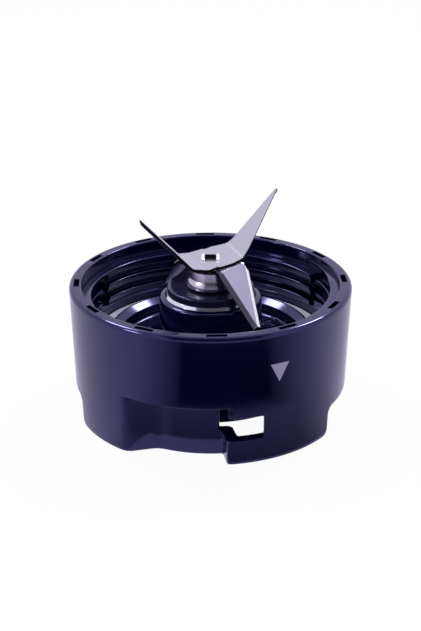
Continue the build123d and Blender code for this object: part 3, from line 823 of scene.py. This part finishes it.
pads = {"count": 3, "first": 130.0, "circle": 24.0, "radius": 3.9, "height": 0.4, "sink": 0.3,
        "groove": 1.1, "grooveEnd": 1.6, "grooveWall": 0.15, "grooveDepth": 0.2,
        "dimple": 0.9, "dimpleWall": 0.25, "dimpleDepth": 0.35}
ribs = {"count": 6, "first": 160.0, "thickness": 1.6, "low": 13.0}
posts = {"count": 3, "first": 130.0, "circle": 22.0, "radius": 3.3, "bore": 1.5}
overlap = 0.1


def buildBowlDetails():
    p = pads
    low = collar["floorTop"] - p["sink"]
    top = collar["floorTop"] + p["height"]
    groove = top - p["grooveDepth"]
    dimple = top - p["dimpleDepth"]
    grooveOuter = p["radius"] - p["groove"]
    grooveInner = p["radius"] - p["grooveEnd"]
    path = roundedPath([
        (0, low, 0), (p["radius"], low, 0), (p["radius"], top, 0.2), (grooveOuter, top, 0.1),
        (grooveOuter - p["grooveWall"], groove, 0.1), (grooveInner + p["grooveWall"], groove, 0.1),
        (grooveInner, top, 0.1), (p["dimple"], top, 0.15), (p["dimple"] - p["dimpleWall"], dimple, 0.1),
        (0, dimple, 0)], True, 15, 0.1)
    pad = shifted(lathe(path, 64), p["circle"])
    finishedCollar(ringOf("bowl_pads", pad, p["count"], p["first"], "collar"))
    c = collar
    half = ribs["thickness"] / 2
    inner = c["tubeRadius"] - overlap
    under = c["floorBottom"] + overlap
    rib = joined(block(inner, c["guardInner"] + overlap, -half, half, ribs["low"], under),
                 block(inner, c["coreRadius"] + overlap, -half, half,
                       c["floorBottom"] - overlap, c["coreTop"] + overlap))
    finishedCollar(ringOf("floor_ribs", rib, ribs["count"], ribs["first"], "collar"))
    s = posts
    post = lathe(roundedPath([(s["bore"], c["tubeBottom"], 0.2), (s["radius"], c["tubeBottom"], 0.3),
                              (s["radius"], under, 0), (s["bore"], under, 0)], True), 48)
    finishedCollar(ringOf("screw_posts", shifted(post, s["circle"]), s["count"], s["first"], "collar"))


# turned pieces: gasket, seal cap with its steel ring, and bell

gasket = {"inner": 31.45, "outer": 36.35, "bottom": 20.6, "top": 22.6, "round": 0.5}
cap = {"radius": 13.2, "bottom": 37.3, "top": 39.7, "collar": 5.7, "bore": 4.6, "collarTop": 41.5,
       "rim": 1.2, "dish": 0.5, "spigot": 11.4, "spigotFoot": 33.7, "sealBore": 8.65, "sealTop": 37.55}
capRing = {"inner": 13.22, "outer": 13.95, "innerTop": 37.6, "outerTop": 36.68, "thickness": 0.22}
bell = {"bottom": 40.0, "waist": 42.6, "top": 45.25, "radius": 7.38, "waistRadius": 6.6, "neck": 6.15,
        "curve": 2.1, "groove": 0.08, "hollow": 6.4, "bore": 4.02, "hollowTop": 42.4,
        "footInset": 0.12, "footRise": 0.15, "grooveRise": 0.08, "neckRise": 0.2, "rows": 20}


def buildTurnedPieces():
    g = gasket
    path = roundedPath([(g["inner"], g["bottom"], 0), (g["outer"], g["bottom"], 0),
                        (g["outer"], g["top"], g["round"]), (g["inner"], g["top"], g["round"])], True, 12)
    finished(turnedPiece("gasket_ring", path, 240), "gasket", "collar", "gasket_rubber", "jar_gasket")
    c = cap
    path = roundedPath([
        (c["bore"], c["sealTop"], 0), (c["sealBore"], c["sealTop"], 0), (c["sealBore"], c["spigotFoot"], 0),
        (c["spigot"], c["spigotFoot"], 0.3), (c["spigot"], c["bottom"], 0), (c["radius"], c["bottom"], 0.2),
        (c["radius"], c["top"], 0.5), (c["radius"] - c["rim"], c["top"], 0.4),
        (c["collar"], c["top"] - c["dish"], 0.5), (c["collar"], c["collarTop"], 0.3),
        (c["bore"], c["collarTop"], 0.2)], True, 12)
    finished(turnedPiece("cap_turned", path, 160), "cap", "collar", "cap_plastic", "seal_cap")
    r = capRing
    path = roundedPath([
        (r["inner"], r["innerTop"] - r["thickness"], 0), (r["outer"], r["outerTop"] - r["thickness"], 0),
        (r["outer"], r["outerTop"], 0.06), (r["inner"], r["innerTop"], 0.06)], True, 20, 0.1)
    finished(turnedPiece("cap_ring", path, 200), "ring", "collar", "bright_steel")
    b = bell
    swell = b["radius"] - b["waistRadius"]
    foot = b["bottom"] + b["footRise"]
    path = roundedPath([
        (b["bore"], b["top"], 0), (b["bore"], b["hollowTop"], 0), (b["hollow"], b["hollowTop"], 0.4),
        (b["hollow"], b["bottom"], 0.2), (b["radius"] - b["footInset"], b["bottom"], 0)], False, 10, 0.15)
    for i in range(b["rows"] + 1):
        share = i / b["rows"]
        path.append(Vector((b["radius"] - swell * share ** b["curve"], foot + (b["waist"] - foot) * share)))
    path += [Vector((b["waistRadius"] - b["groove"], b["waist"] + b["grooveRise"])),
             Vector((b["waistRadius"], b["waist"] + b["neckRise"])), Vector((b["neck"], b["top"]))]
    finished(turnedPiece("bell_turned", path, 160), "bell", "rotor", "polished_steel", "bell_sleeve")


# blades: bent sheets with ground edges, drawn in plan (u along the blade, v across it)

blade = {"thickness": 1.1, "ease": 0.1, "land": 0.35, "backDrop": 0.28, "hole": 2.65, "step": 0.8,
         "fine": 0.45, "bendRows": (-0.3, -0.19, -0.06, 0.06, 0.19, 0.3)}
upperBlade = {
    "direction": 20.4, "level": 48.45, "grind": {"under": 1.6},
    "profile": [(0, 0, 0), (4.775, 0, 3.75), (8.56, 0.667, 1.5), (27.0, 20.58, 0)],
    "outline": [(8.56, -5.0, 2.0, "plain"), (10.66, -4.1, 0, "under"), (24.16, 6.15, 0, "plain"),
                (23.71, 7.05, 0.3, "plain"), (10.06, 7.6, 4.0, "plain"), (8.56, 8.5, 1.0, "plain"),
                (3.96, 9.1, 1.0, "plain"), (1.0, 7.6, 0.5, "plain"), (0, 7.95, 0.5, "plain")],
}
lowerBlade = {
    "direction": -42.5, "level": 47.35, "grind": {"front": 1.4, "back": 0.9},
    "profile": [(0, 0, 0), (7.98, 0, 0.5), (26.0, -15.999, 0)],
    "outline": [(7.98, -5.1, 0, "front"), (22.88, -5.85, 0, "plain"), (23.18, -3.55, 0, "back"),
                (10.18, 5.9, 0, "plain"), (7.98, 5.9, 1.0, "plain")],
}


def bladeLoop(plan):
    # outline points, each with the kind of the edge that leaves it
    whole = plan["outline"] + [(-u, -v, r, kind) for u, v, r, kind in plan["outline"]]
    points, kinds = [], []
    for i, (u, v, radius, kind) in enumerate(whole):
        here = Vector((u, v))
        arc = [here]
        if radius > 0:
            arc = cornerArc(whole[i - 1], here, whole[(i + 1) % len(whole)], radius, 15)
        points += arc
        kinds += [kind] * len(arc)
    dense, denseKinds = [], []
    for i, p in enumerate(points):
        q = points[(i + 1) % len(points)]
        count = max(1, math.ceil((q - p).length / blade["step"]))
        dense += [p.lerp(q, k / count) for k in range(count)]
        denseKinds += [kinds[i]] * count
    return dense, denseKinds


def insetLoop(points, amounts):
    moved = []
    for i, p in enumerate(points):
        before = (p - points[i - 1]).normalized()
        after = (points[(i + 1) % len(points)] - p).normalized()
        n1, n2 = Vector((-before.y, before.x)), Vector((-after.y, after.x))
        a1, a2 = amounts[i - 1], amounts[i]
        cross = n1.x * n2.y - n1.y * n2.x
        if abs(cross) < 0.26:
            moved.append(p + (n1 + n2).normalized() * (a1 + a2) / 2)
        else:
            moved.append(p + Vector((a1 * n2.y - a2 * n1.y, a2 * n1.x - a1 * n2.x)) / cross)
    return moved


def bendCurves(plan):
    # heights of the upper and the lower face along u
    upper = spaced(roundedPath(plan["profile"], False, 4), 0.2)
    lower = []
    for i, p in enumerate(upper):
        run = (upper[min(i + 1, len(upper) - 1)] - upper[max(i - 1, 0)]).normalized()
        lower.append(p + Vector((run.y, -run.x)) * blade["thickness"])
    return [([p.x for p in curve], [p.y for p in curve]) for curve in (upper, lower)]


def heightAt(curve, u):
    us, zs = curve
    i = min(max(bisect.bisect_right(us, abs(u)) - 1, 0), len(us) - 2)
    return zs[i] + (zs[i + 1] - zs[i]) * (abs(u) - us[i]) / (us[i + 1] - us[i])


def bladePart(plan):
    turn = math.radians(plan["direction"])
    curves = bendCurves(plan)
    thick, ease, land = blade["thickness"], blade["ease"], blade["land"]

    def place(p, share):
        top, low = heightAt(curves[0], p.x), heightAt(curves[1], p.x)
        return (*spun(p, turn), plan["level"] + top + (low - top) * share)

    spans = {"plain": (ease, thick - ease), "under": (ease / 2, land),
             "front": (thick - land, thick - ease / 2), "back": (blade["backDrop"], thick - ease / 2)}
    loop, kinds = bladeLoop(plan)
    depths = [spans[kind] for kind in kinds]
    topInset, lowInset = [], []
    for kind in kinds:
        width = plan["grind"].get(kind, ease)
        topInset.append(ease / 2 if kind == "under" else width)
        lowInset.append(width if kind == "under" else ease / 2 if kind != "plain" else ease)
    rings = [insetLoop(loop, topInset), loop, loop, insetLoop(loop, lowInset)]
    shares = [[0.0] * len(loop)]
    for side in (0, 1):
        shares.append([(depths[i - 1][side] + depths[i][side]) / 2 / thick for i in range(len(loop))])
    shares.append([1.0] * len(loop))
    square = [Vector((blade["hole"] * x, blade["hole"] * y)) for x, y in ((-1, -1), (1, -1), (1, 1), (-1, 1))]
    hole = [Vector(spun(p, -turn)) for p in spaced(square + square[:1], 0.9)[:-1]]
    bends = [u for u, z, radius in plan["profile"] if 0 < radius <= 1]
    parts = [bladeSheet(rings[0], hole, turn, bends, lambda p: place(p, 0.0)),
             bladeSheet(rings[3], hole, turn, bends, lambda p: place(p, 1.0))]
    rim = [place(p, share) for ring, row in zip(rings, shares) for p, share in zip(ring, row)]
    parts.append((rim, bandFaces(len(rings), len(loop), True)))
    wall = [place(p, share) for share in (0.0, 1.0) for p in hole]
    parts.append((wall, bandFaces(2, len(hole), True)))
    return joined(*parts)


def bladeSheet(ring, hole, turn, bends, place):
    # even points, with straight rows along the tight bends
    step = blade["fine"]
    reachU, reachV = max(p.x for p in ring), max(p.y for p in ring)
    inside = []
    for i in range(-int(reachU / step), int(reachU / step) + 1):
        for k in range(-int(reachV / step), int(reachV / step) + 1):
            spot = Vector(((i + 0.5 * (k % 2)) * step, k * step))
            clear = all(abs(abs(spot.x) - u) > step for u in bends)
            if clear and insideDistance(spot, ring) > 0.6 * step and insideDistance(spot, hole) > 0.6 * step:
                inside.append(spot)
    rows = [side * (u + shift) for u in bends for shift in blade["bendRows"] for side in (-1, 1)]
    for k in range(-int(reachV / step), int(reachV / step) + 1):
        spots = [Vector((u, k * step)) for u in rows]
        inside += [spot for spot in spots if insideDistance(spot, ring) > 0.4 * step]
    base = len(ring)
    cut = [(base + i, base + (i + 1) % len(hole)) for i in range(len(hole))]
    flat = delaunay_2d_cdt(ring + hole + inside, cut, [list(range(base))], 1, 1e-6)
    faces = []
    for face in flat[2]:
        middle = sum((flat[0][i] for i in face), Vector((0, 0))) / len(face)
        if max(map(abs, spun(middle, turn))) > blade["hole"]:
            faces.append(tuple(face))
    return [place(p) for p in flat[0]], faces


# shaft and its staked end over the upper blade

head = {"level": 48.45, "cut": 47.0, "half": 2.95, "neck": 2.6, "grid": 48, "seat": 0.12, "lobe": 0.66,
        "lobeSpot": 2.3, "lobeWidth": 0.62, "lobeRun": 1.6, "lobeEnd": 1.2, "slot": 1.7, "slotRun": 2.6,
        "slotWall": 0.1, "slotDepth": 1.0, "tuck": 0.03}


def shaftCopy(name):
    bm = bmesh.new()
    bm.from_mesh(nodes["drive_shaft"].data)
    bmesh.ops.remove_doubles(bm, verts=bm.verts, dist=0.001 * mm)
    geom = bm.verts[:] + bm.edges[:] + bm.faces[:]
    cut = (0, 0, head["cut"] * mm)
    bmesh.ops.bisect_plane(bm, geom=geom, plane_co=cut, plane_no=(0, 0, 1), clear_outer=True)
    bmesh.ops.holes_fill(bm, edges=[e for e in bm.edges if e.is_boundary], sides=0)
    bmesh.ops.dissolve_limit(bm, angle_limit=math.radians(0.5), verts=bm.verts, edges=bm.edges)
    mesh = bpy.data.meshes.new(name)
    bm.to_mesh(mesh)
    bm.free()
    smooth(mesh, 30)
    return linked(name, mesh)


def headHeight(x, y):
    h = head
    far = math.hypot((abs(x) - h["lobeSpot"]) / h["lobeWidth"], max(0, abs(y) - h["lobeRun"]) / h["lobeEnd"])
    dome = math.sqrt(1 - far ** 2.6) if far < 1 else 0.0
    rise = h["seat"] + (h["lobe"] - h["seat"]) * dome
    sink = min(h["slot"] - abs(x), h["slotRun"] - abs(y)) / h["slotWall"]
    return rise - h["slotDepth"] * max(0.0, min(1.0, sink))


def headLines():
    # even lines, with extra ones at the walls of the slot
    h = head
    lines = {round(h["half"] * (2 * i / h["grid"] - 1), 4) for i in range(h["grid"] + 1)}
    for edge in (h["slot"], h["slot"] - h["slotWall"], h["slotRun"], h["slotRun"] - h["slotWall"]):
        lines |= {edge, -edge}
    return sorted(lines)


def stakedHead():
    h, lines = head, headLines()
    n = len(lines)
    verts, faces = [], []
    for x in lines:
        for y in lines:
            pull = 1 - 0.1 * (x * y / h["half"] ** 2) ** 2
            border = max(abs(x), abs(y)) >= h["half"] - 0.001
            verts.append((x * pull, y * pull, h["level"] + (-h["tuck"] if border else headHeight(x, y))))
    for i in range(n - 1):
        for k in range(n - 1):
            a = i * n + k
            faces.append((a, a + n, a + n + 1, a + 1))
    rim = [i * n for i in range(n)] + [(n - 1) * n + k for k in range(1, n)]
    rim += [i * n + n - 1 for i in range(n - 2, -1, -1)] + list(range(n - 2, 0, -1))
    count, last = len(rim), rim
    for z in (h["level"] - h["tuck"], h["cut"]):
        base = len(verts)
        verts += [(verts[i][0] * h["neck"] / h["half"], verts[i][1] * h["neck"] / h["half"], z) for i in rim]
        ring = list(range(base, base + count))
        faces += [(last[i], last[(i + 1) % count], ring[(i + 1) % count], ring[i]) for i in range(count)]
        last = ring
    faces.append(tuple(last))
    return verts, faces


bladeWasher = {"bore": 3.75, "radius": 6.25, "bottom": 45.25, "top": 46.24}


def second(obj, material, chosen):
    obj.data.materials.append(finish[material])
    for face in obj.data.polygons:
        if chosen(face):
            face.material_index = len(obj.data.materials) - 1


def leansBack(face, direction):
    # the ground strip along the trailing edge of each wing
    turn = math.radians(direction)
    side = spun(face.center.xy, -turn)[0]
    lean = spun(face.normal.xy, -turn)[1]
    return face.normal.z > 0.3 and math.copysign(lean, lean * side) > 0.1


def inSlot(face):
    return abs(face.center.x) < head["slot"] * mm and abs(face.center.y) < head["slotRun"] * mm


def buildRotor():
    for node, material, plan in (("upper_blade", "upper", upperBlade), ("lower_blade", "lower", lowerBlade)):
        obj = newPiece(node + "_ground", bladePart(plan), 15)
        finished(obj, material, "rotor", "blade_steel", node)
        # the upright edge faces take painted shade
        second(obj, "edge", lambda face: abs(face.normal.z) < 0.02)
        if "back" in plan["grind"]:
            # the trailing bevel takes the painted highlight
            second(obj, "ear", lambda face: leansBack(face, plan["direction"]))
    finished(shaftCopy("shaft_turned"), "bright", "rotor", "bright_steel", "drive_shaft")
    obj = newPiece("staked_head", stakedHead(), 45)
    finished(obj, "head", "rotor", "bright_steel", "drive_shaft")
    # the raised lobes take the painted highlight
    second(obj, "ear", lambda face: face.center.z > (head["level"] + 1.2 * head["seat"]) * mm)
    # the slot takes painted shade
    second(obj, "hollow", inSlot)
    w = bladeWasher
    path = roundedPath([(w["bore"], w["bottom"], 0), (w["radius"], w["bottom"], 0.05),
                        (w["radius"], w["top"], 0.05), (w["bore"], w["top"], 0)], True, 20, 0.1)
    finished(turnedPiece("washer_turned", path, 120), "bell", "rotor", "spring_steel", "blade_washer")


# coupling and retainer seen from below

coupling = {"radius": 13.0, "top": 8.8, "flange": 6.2, "bottom": 2.2, "hub": 6.4, "hubBottom": 3.8,
            "hubTop": 9.7, "bore": 4.62, "dogs": 6, "dogInner": 8.2, "dogAngle": 26.0, "dogRound": 0.8,
            "dogEase": 0.3}
plate = {"bore": 8.0, "radius": 25.6, "bottom": 9.7, "top": 11.5}
screws = {"count": 3, "first": 130.0, "circle": 22.0, "head": 2.7, "headHeight": 1.5, "shank": 1.45,
          "tip": 16.6, "crossWidth": 0.8, "crossLength": 3.2, "crossDepth": 0.7}


def dogPart():
    c = coupling
    half = math.radians(c["dogAngle"] / 2)
    inner, outer = c["dogInner"], c["radius"]
    corners = [(inner * math.cos(half), -inner * math.sin(half), c["dogRound"]),
               (outer * math.cos(half), -outer * math.sin(half), c["dogRound"]),
               (outer / math.cos(half / 3), 0, outer * 0.9),
               (outer * math.cos(half), outer * math.sin(half), c["dogRound"]),
               (inner * math.cos(half), inner * math.sin(half), c["dogRound"])]
    plan = roundedPath(corners, True, 10)
    ease = c["dogEase"]
    middle = Vector((sum(p.x for p in plan) / len(plan), sum(p.y for p in plan) / len(plan)))
    levels = [(c["flange"] + 0.2, 0.0)]
    levels += [(c["bottom"] + ease * (1 - math.sin(t)), ease * (1 - math.cos(t)))
               for t in (0, math.pi / 6, math.pi / 3, math.pi / 2)]
    verts = [(*(p + (middle - p).normalized() * pull), z) for z, pull in levels for p in plan]
    count = len(plan)
    faces = bandFaces(len(levels), count, True)
    faces.append(tuple(range(count)))
    faces.append(tuple(range((len(levels) - 1) * count, len(levels) * count)))
    return verts, faces


def screwPart():
    s, bottom = screws, plate["bottom"]
    low = bottom - s["headHeight"]
    path = roundedPath([(0, low, 0), (s["head"], low, 0.7), (s["head"], bottom, 0), (s["shank"], bottom, 0),
                        (s["shank"], s["tip"] - 1.2, 0), (0, s["tip"], 0)], True, 15)
    return lathe(path, 40)


def buildUnderside():
    c = coupling
    path = roundedPath([
        (c["bore"], c["hubBottom"], 0.15), (c["hub"], c["hubBottom"], 0.3), (c["hub"], c["flange"], 0.4),
        (c["radius"], c["flange"], 0.3), (c["radius"], c["top"], 0.5), (c["hub"], c["top"], 0.3),
        (c["hub"], c["hubTop"], 0.2), (c["bore"], c["hubTop"], 0)], True, 15)
    obj = turnedPiece("coupling_disc", path, 144)
    finished(obj, "coupling", "rotor", "coupling_plastic", "drive_coupling")
    obj = ringOf("coupling_dogs", dogPart(), c["dogs"], 0.0, "coupling")
    finished(obj, "coupling", "rotor", "coupling_plastic", "drive_coupling")
    p = plate
    path = roundedPath([(p["bore"], p["bottom"], 0.3), (p["radius"], p["bottom"], 0.5),
                        (p["radius"], p["top"], 0), (p["bore"], p["top"], 0)], True, 15)
    finished(turnedPiece("plate_turned", path, 192), "plate", "collar", "plate_plastic", "retainer_plate")
    s = screws
    obj = newPiece("one_screw", screwPart())
    low = p["bottom"] - s["headHeight"]
    halfWidth, halfLength = s["crossWidth"] / 2, s["crossLength"] / 2
    for x, y in ((halfWidth, halfLength), (halfLength, halfWidth)):
        cutOut(obj, newPiece("screw_cross", block(-x, x, -y, y, low - 1, low + s["crossDepth"])))
    screw = ([tuple(v.co / mm) for v in obj.data.vertices], [tuple(f.vertices) for f in obj.data.polygons])
    bpy.data.objects.remove(obj)
    obj = ringOf("plate_screws", shifted(screw, s["circle"]), s["count"], s["first"], "bright")
    finished(obj, "bright", "collar", "bright_steel", "retainer_screws")


# pointer mark printed on the wall

mark = {"top": 31.15, "apex": 25.3, "angle": 27.7, "halfAngle": 4.05, "stand": 0.015, "sink": 0.05,
        "rows": 14, "columns": 12}


def buildMark():
    m = mark
    verts = []
    for stand in (m["stand"], -m["sink"]):
        for i in range(m["rows"] + 1):
            z = m["apex"] + (m["top"] - m["apex"]) * i / m["rows"]
            radius = collar["footRadius"] * growth(z) + stand
            for k in range(m["columns"] + 1):
                spread = m["halfAngle"] * i / m["rows"] * (2 * k / m["columns"] - 1)
                spot = polar(radius, m["angle"] + spread)
                verts.append((spot.x, spot.y, z))
    width = m["columns"] + 1
    layer = width * (m["rows"] + 1)
    sheet = bandFaces(m["rows"] + 1, width)
    faces = sheet + [tuple(i + layer for i in face) for face in sheet]
    rim = [i * width for i in range(m["rows"] + 1)] + [m["rows"] * width + k for k in range(1, width)]
    rim += [i * width + width - 1 for i in range(m["rows"] - 1, 0, -1)]
    for a, b in zip(rim, rim[1:] + rim[:1]):
        faces.append((a, b, b + layer, a + layer))
    finished(newPiece("pointer_mark", (verts, faces), 60), "mark", "collar", "black_plastic")


# sealed inner pieces keep their solids and take a finish

innerFinish = {
    "shaft_seal": "seal", "seal_spring": "spring", "cap_o_ring": "seal", "bearing_sleeve": "bright",
    "upper_bush": "bronze", "lower_bush": "bronze", "oil_felt": "felt", "upper_thrust_washer": "spring",
    "lower_thrust_washer": "spring", "retaining_clip": "spring", "coupling_insert": "brass",
}


def dressInnerPieces():
    for node, material in innerFinish.items():
        slots = nodes[node].material_slots
        if not slots:
            nodes[node].data.materials.append(finish[material])
        for slot in slots:
            slot.material = finish[material]
    print("inner pieces dressed:", len(innerFinish))


buildCollarBody()
buildSkirt()
buildThread()
buildBowlDetails()
buildTurnedPieces()
buildRotor()
buildUnderside()
buildMark()
dressInnerPieces()


# floor, background, lights and camera

studio = {"floor": 3.0, "keep": 0.05, "world": 0.55, "cast": (0.84, 0.77, 1.0)}
# painted shade for reflections: the floor card's dark front and the object's shadow near the foot
floorPaintedShades = {"inner": 42, "outer": 130, "left": 62, "right": 96, "leftCore": 18, "leftEnd": 50,
              "rightCore": 37, "rightEnd": 86, "nearEdge": 75, "nearTone": 0.5, "nearRamp": 9,
              "footTone": 0.25, "farEdge": 118, "farRamp": 9, "rise": 0.7, "height": 0.4, "step": 2}
# painted shade: a dim glowing sheet over the front, seen only in reflections
shade = {"left": -450, "right": 600, "rows": [(-700, 20, 0.35), (-700, 560, 0.1), (-120, 1000, 0.1)]}
# painted reflection: a grey glowing card that the lower blade's face mirrors
sideReflectionCard = {"tone": 0.6, "spot": (18, -12, 33), "toward": (0.695, 0.279, 0.664), "far": 600, "half": 115}


def coolCast(tree, path):
    # reflections take a painted cool cast, the eye sees it white
    mix = addNode(tree, "ShaderNodeMix", data_type="RGBA")
    tree.links.new(path.outputs["Is Glossy Ray"], mix.inputs["Factor"])
    mix.inputs["A"].default_value = (1, 1, 1, 1)
    mix.inputs["B"].default_value = (*studio["cast"], 1)
    return mix.outputs["Result"]


def seenMask(tree, path):
    # one for what the eye sees, straight, in reflections or through a clear piece
    seen = path.outputs["Is Camera Ray"]
    for label in ("Is Glossy Ray", "Is Transmission Ray"):
        also = addNode(tree, "ShaderNodeMath", operation="MAXIMUM")
        tree.links.new(seen, also.inputs[0])
        tree.links.new(path.outputs[label], also.inputs[1])
        seen = also.outputs[0]
    return seen


def glowMaterial(name, keep):
    # bright to the eye and to reflections, with a share of the real shading for the shadow
    material, tree, bsdf = newMaterial(name)
    link = tree.links.new
    path = addNode(tree, "ShaderNodeLightPath")
    share = addNode(tree, "ShaderNodeMath", operation="MULTIPLY")
    share.inputs[1].default_value = 1 - keep
    link(seenMask(tree, path), share.inputs[0])
    glow = addNode(tree, "ShaderNodeEmission")
    link(coolCast(tree, path), glow.inputs["Color"])
    mix = addNode(tree, "ShaderNodeMixShader")
    bsdf.inputs["Base Color"].default_value = (0.85, 0.85, 0.86, 1)
    bsdf.inputs["Roughness"].default_value = 0.9
    link(share.outputs[0], mix.inputs[0])
    link(bsdf.outputs[0], mix.inputs[1])
    link(glow.outputs[0], mix.inputs[2])
    link(mix.outputs[0], tree.nodes["Material Output"].inputs["Surface"])
    return material


def buildFloor():
    s = studio["floor"]
    mesh = bpy.data.meshes.new("floor")
    mesh.from_pydata([(-s, -s, 0), (s, -s, 0), (s, s, 0), (-s, s, 0)], [], [(0, 1, 2, 3)])
    mesh.materials.append(glowMaterial("floorPaper", studio["keep"]))
    linked("floor", mesh)


def cardMaterial():
    # each card glows with the tone kept in its mesh: painted reflection and painted shade
    material, tree, bsdf = newMaterial("paintedReflectionCard")
    glow = addNode(tree, "ShaderNodeEmission")
    glow.inputs["Color"].default_value = (*studio["cast"], 1)
    tone = addNode(tree, "ShaderNodeAttribute", attribute_name="tone")
    tree.links.new(tone.outputs["Fac"], glow.inputs["Strength"])
    tree.links.new(glow.outputs[0], tree.nodes["Material Output"].inputs["Surface"])
    return material


def floorPaintedShade(radius, azimuth):
    # painted shade seen in reflections: a dark core in front, easing to white at both sides and beyond, and
    # the object's shadow painted grey towards the foot
    t = floorPaintedShades
    core, end = (t["leftCore"], t["leftEnd"]) if azimuth < 0 else (t["rightCore"], t["rightEnd"])
    side = clamp((abs(azimuth) - core) / (end - core)) ** t["rise"]
    near = t["nearTone"] * clamp((t["nearEdge"] - radius) / t["nearRamp"])
    foot = t["nearEdge"] - t["nearRamp"]
    near -= (t["nearTone"] - t["footTone"]) * clamp((foot - radius) / (foot - t["inner"]))
    return max(side, near, clamp((radius - t["farEdge"]) / t["farRamp"]))


def clamp(value):
    return max(0.0, min(1.0, value))


def hangCard(name, material, verts, faces, tones):
    # cards are seen only in reflections, where they paint shade and reflections
    mesh = bpy.data.meshes.new(name)
    mesh.from_pydata([Vector(v) * mm for v in verts], [], faces)
    mesh.attributes.new("tone", "FLOAT", "POINT").data.foreach_set("value", tones)
    mesh.materials.append(material)
    card = linked(name, mesh)
    card.visible_camera = False
    card.visible_diffuse = False
    card.visible_shadow = False


def hangCards():
    material = cardMaterial()
    t = floorPaintedShades
    radii = range(t["inner"], t["outer"] + 1, t["step"])
    azimuths = range(-t["left"], t["right"] + 1, t["step"])
    verts = [(*polar(r, a), t["height"]) for r in radii for a in azimuths]
    tones = [floorPaintedShade(r, a) for r in radii for a in azimuths]
    hangCard("floor_shade_card", material, verts, bandFaces(len(radii), len(azimuths)), tones)
    verts = [(x, y, z) for y, z, tone in shade["rows"] for x in (shade["left"], shade["right"])]
    tones = [tone for y, z, tone in shade["rows"] for side in (0, 1)]
    hangCard("shade", material, verts, [(0, 1, 3, 2), (2, 3, 5, 4)], tones)
    toward = Vector(sideReflectionCard["toward"])
    middle = Vector(sideReflectionCard["spot"]) + toward * sideReflectionCard["far"]
    across = toward.cross((0, 0, 1)).normalized() * sideReflectionCard["half"]
    upward = across.cross(toward).normalized() * sideReflectionCard["half"]
    corners = [middle + across * a + upward * b for a, b in ((-1, -1), (1, -1), (1, 1), (-1, 1))]
    hangCard("side_reflection_card", material, corners, [(0, 1, 2, 3)], [sideReflectionCard["tone"]] * 4)


def buildWorld():
    world = bpy.data.worlds.new("studio")
    bpy.context.scene.world = world
    world.use_nodes = True
    tree = world.node_tree
    back = tree.nodes["Background"]
    path = addNode(tree, "ShaderNodeLightPath")
    tree.links.new(coolCast(tree, path), back.inputs["Color"])
    level = addNode(tree, "ShaderNodeMapRange")
    tree.links.new(seenMask(tree, path), level.inputs["Value"])
    level.inputs["To Min"].default_value = studio["world"]
    level.inputs["To Max"].default_value = 1.0
    tree.links.new(level.outputs["Result"], back.inputs["Strength"])


lampAim = (0, 0, 0.03)
lamps = {
    "leftBox": {"place": (-0.55, -0.25, 0.36), "size": (0.12, 0.12), "power": 1.0},
    "rightBackBox": {"place": (0.3, 0.31, 0.51), "size": (0.2, 0.12), "power": 1.9},
    "leftBackBox": {"place": (-0.29, 0.27, 0.54), "size": (0.2, 0.12), "power": 1.5},
}


def hangLamps():
    for name, plan in lamps.items():
        data = bpy.data.lights.new(name, "AREA")
        data.shape = "RECTANGLE"
        data.size, data.size_y = plan["size"]
        data.energy = plan["power"]
        lamp = linked(name, data)
        lamp.location = plan["place"]
        lamp.rotation_euler = (Vector(lampAim) - lamp.location).to_track_quat("-Z", "Y").to_euler()


cameraPlan = {"elevation": 23.55, "distance": 460 * mm, "aim": 29.4 * mm, "focalPixels": 1495.8,
              "imageHeight": 631}


def buildCamera():
    plan = cameraPlan
    up = math.radians(plan["elevation"])
    data = bpy.data.cameras.new("camera")
    data.sensor_width = 36.0
    data.lens = plan["focalPixels"] * data.sensor_width / plan["imageHeight"]
    data.clip_start = 0.01
    camera = linked("camera", data)
    aim = Vector((0, 0, plan["aim"]))
    back = Vector((0, -math.cos(up), math.sin(up)))
    camera.location = aim + back * plan["distance"]
    camera.rotation_euler = (-back).to_track_quat("-Z", "Y").to_euler()
    bpy.context.scene.camera = camera


buildFloor()
hangCards()
buildWorld()
hangLamps()
buildCamera()
bpy.context.scene.view_settings.view_transform = "Standard"
print("scene ready")
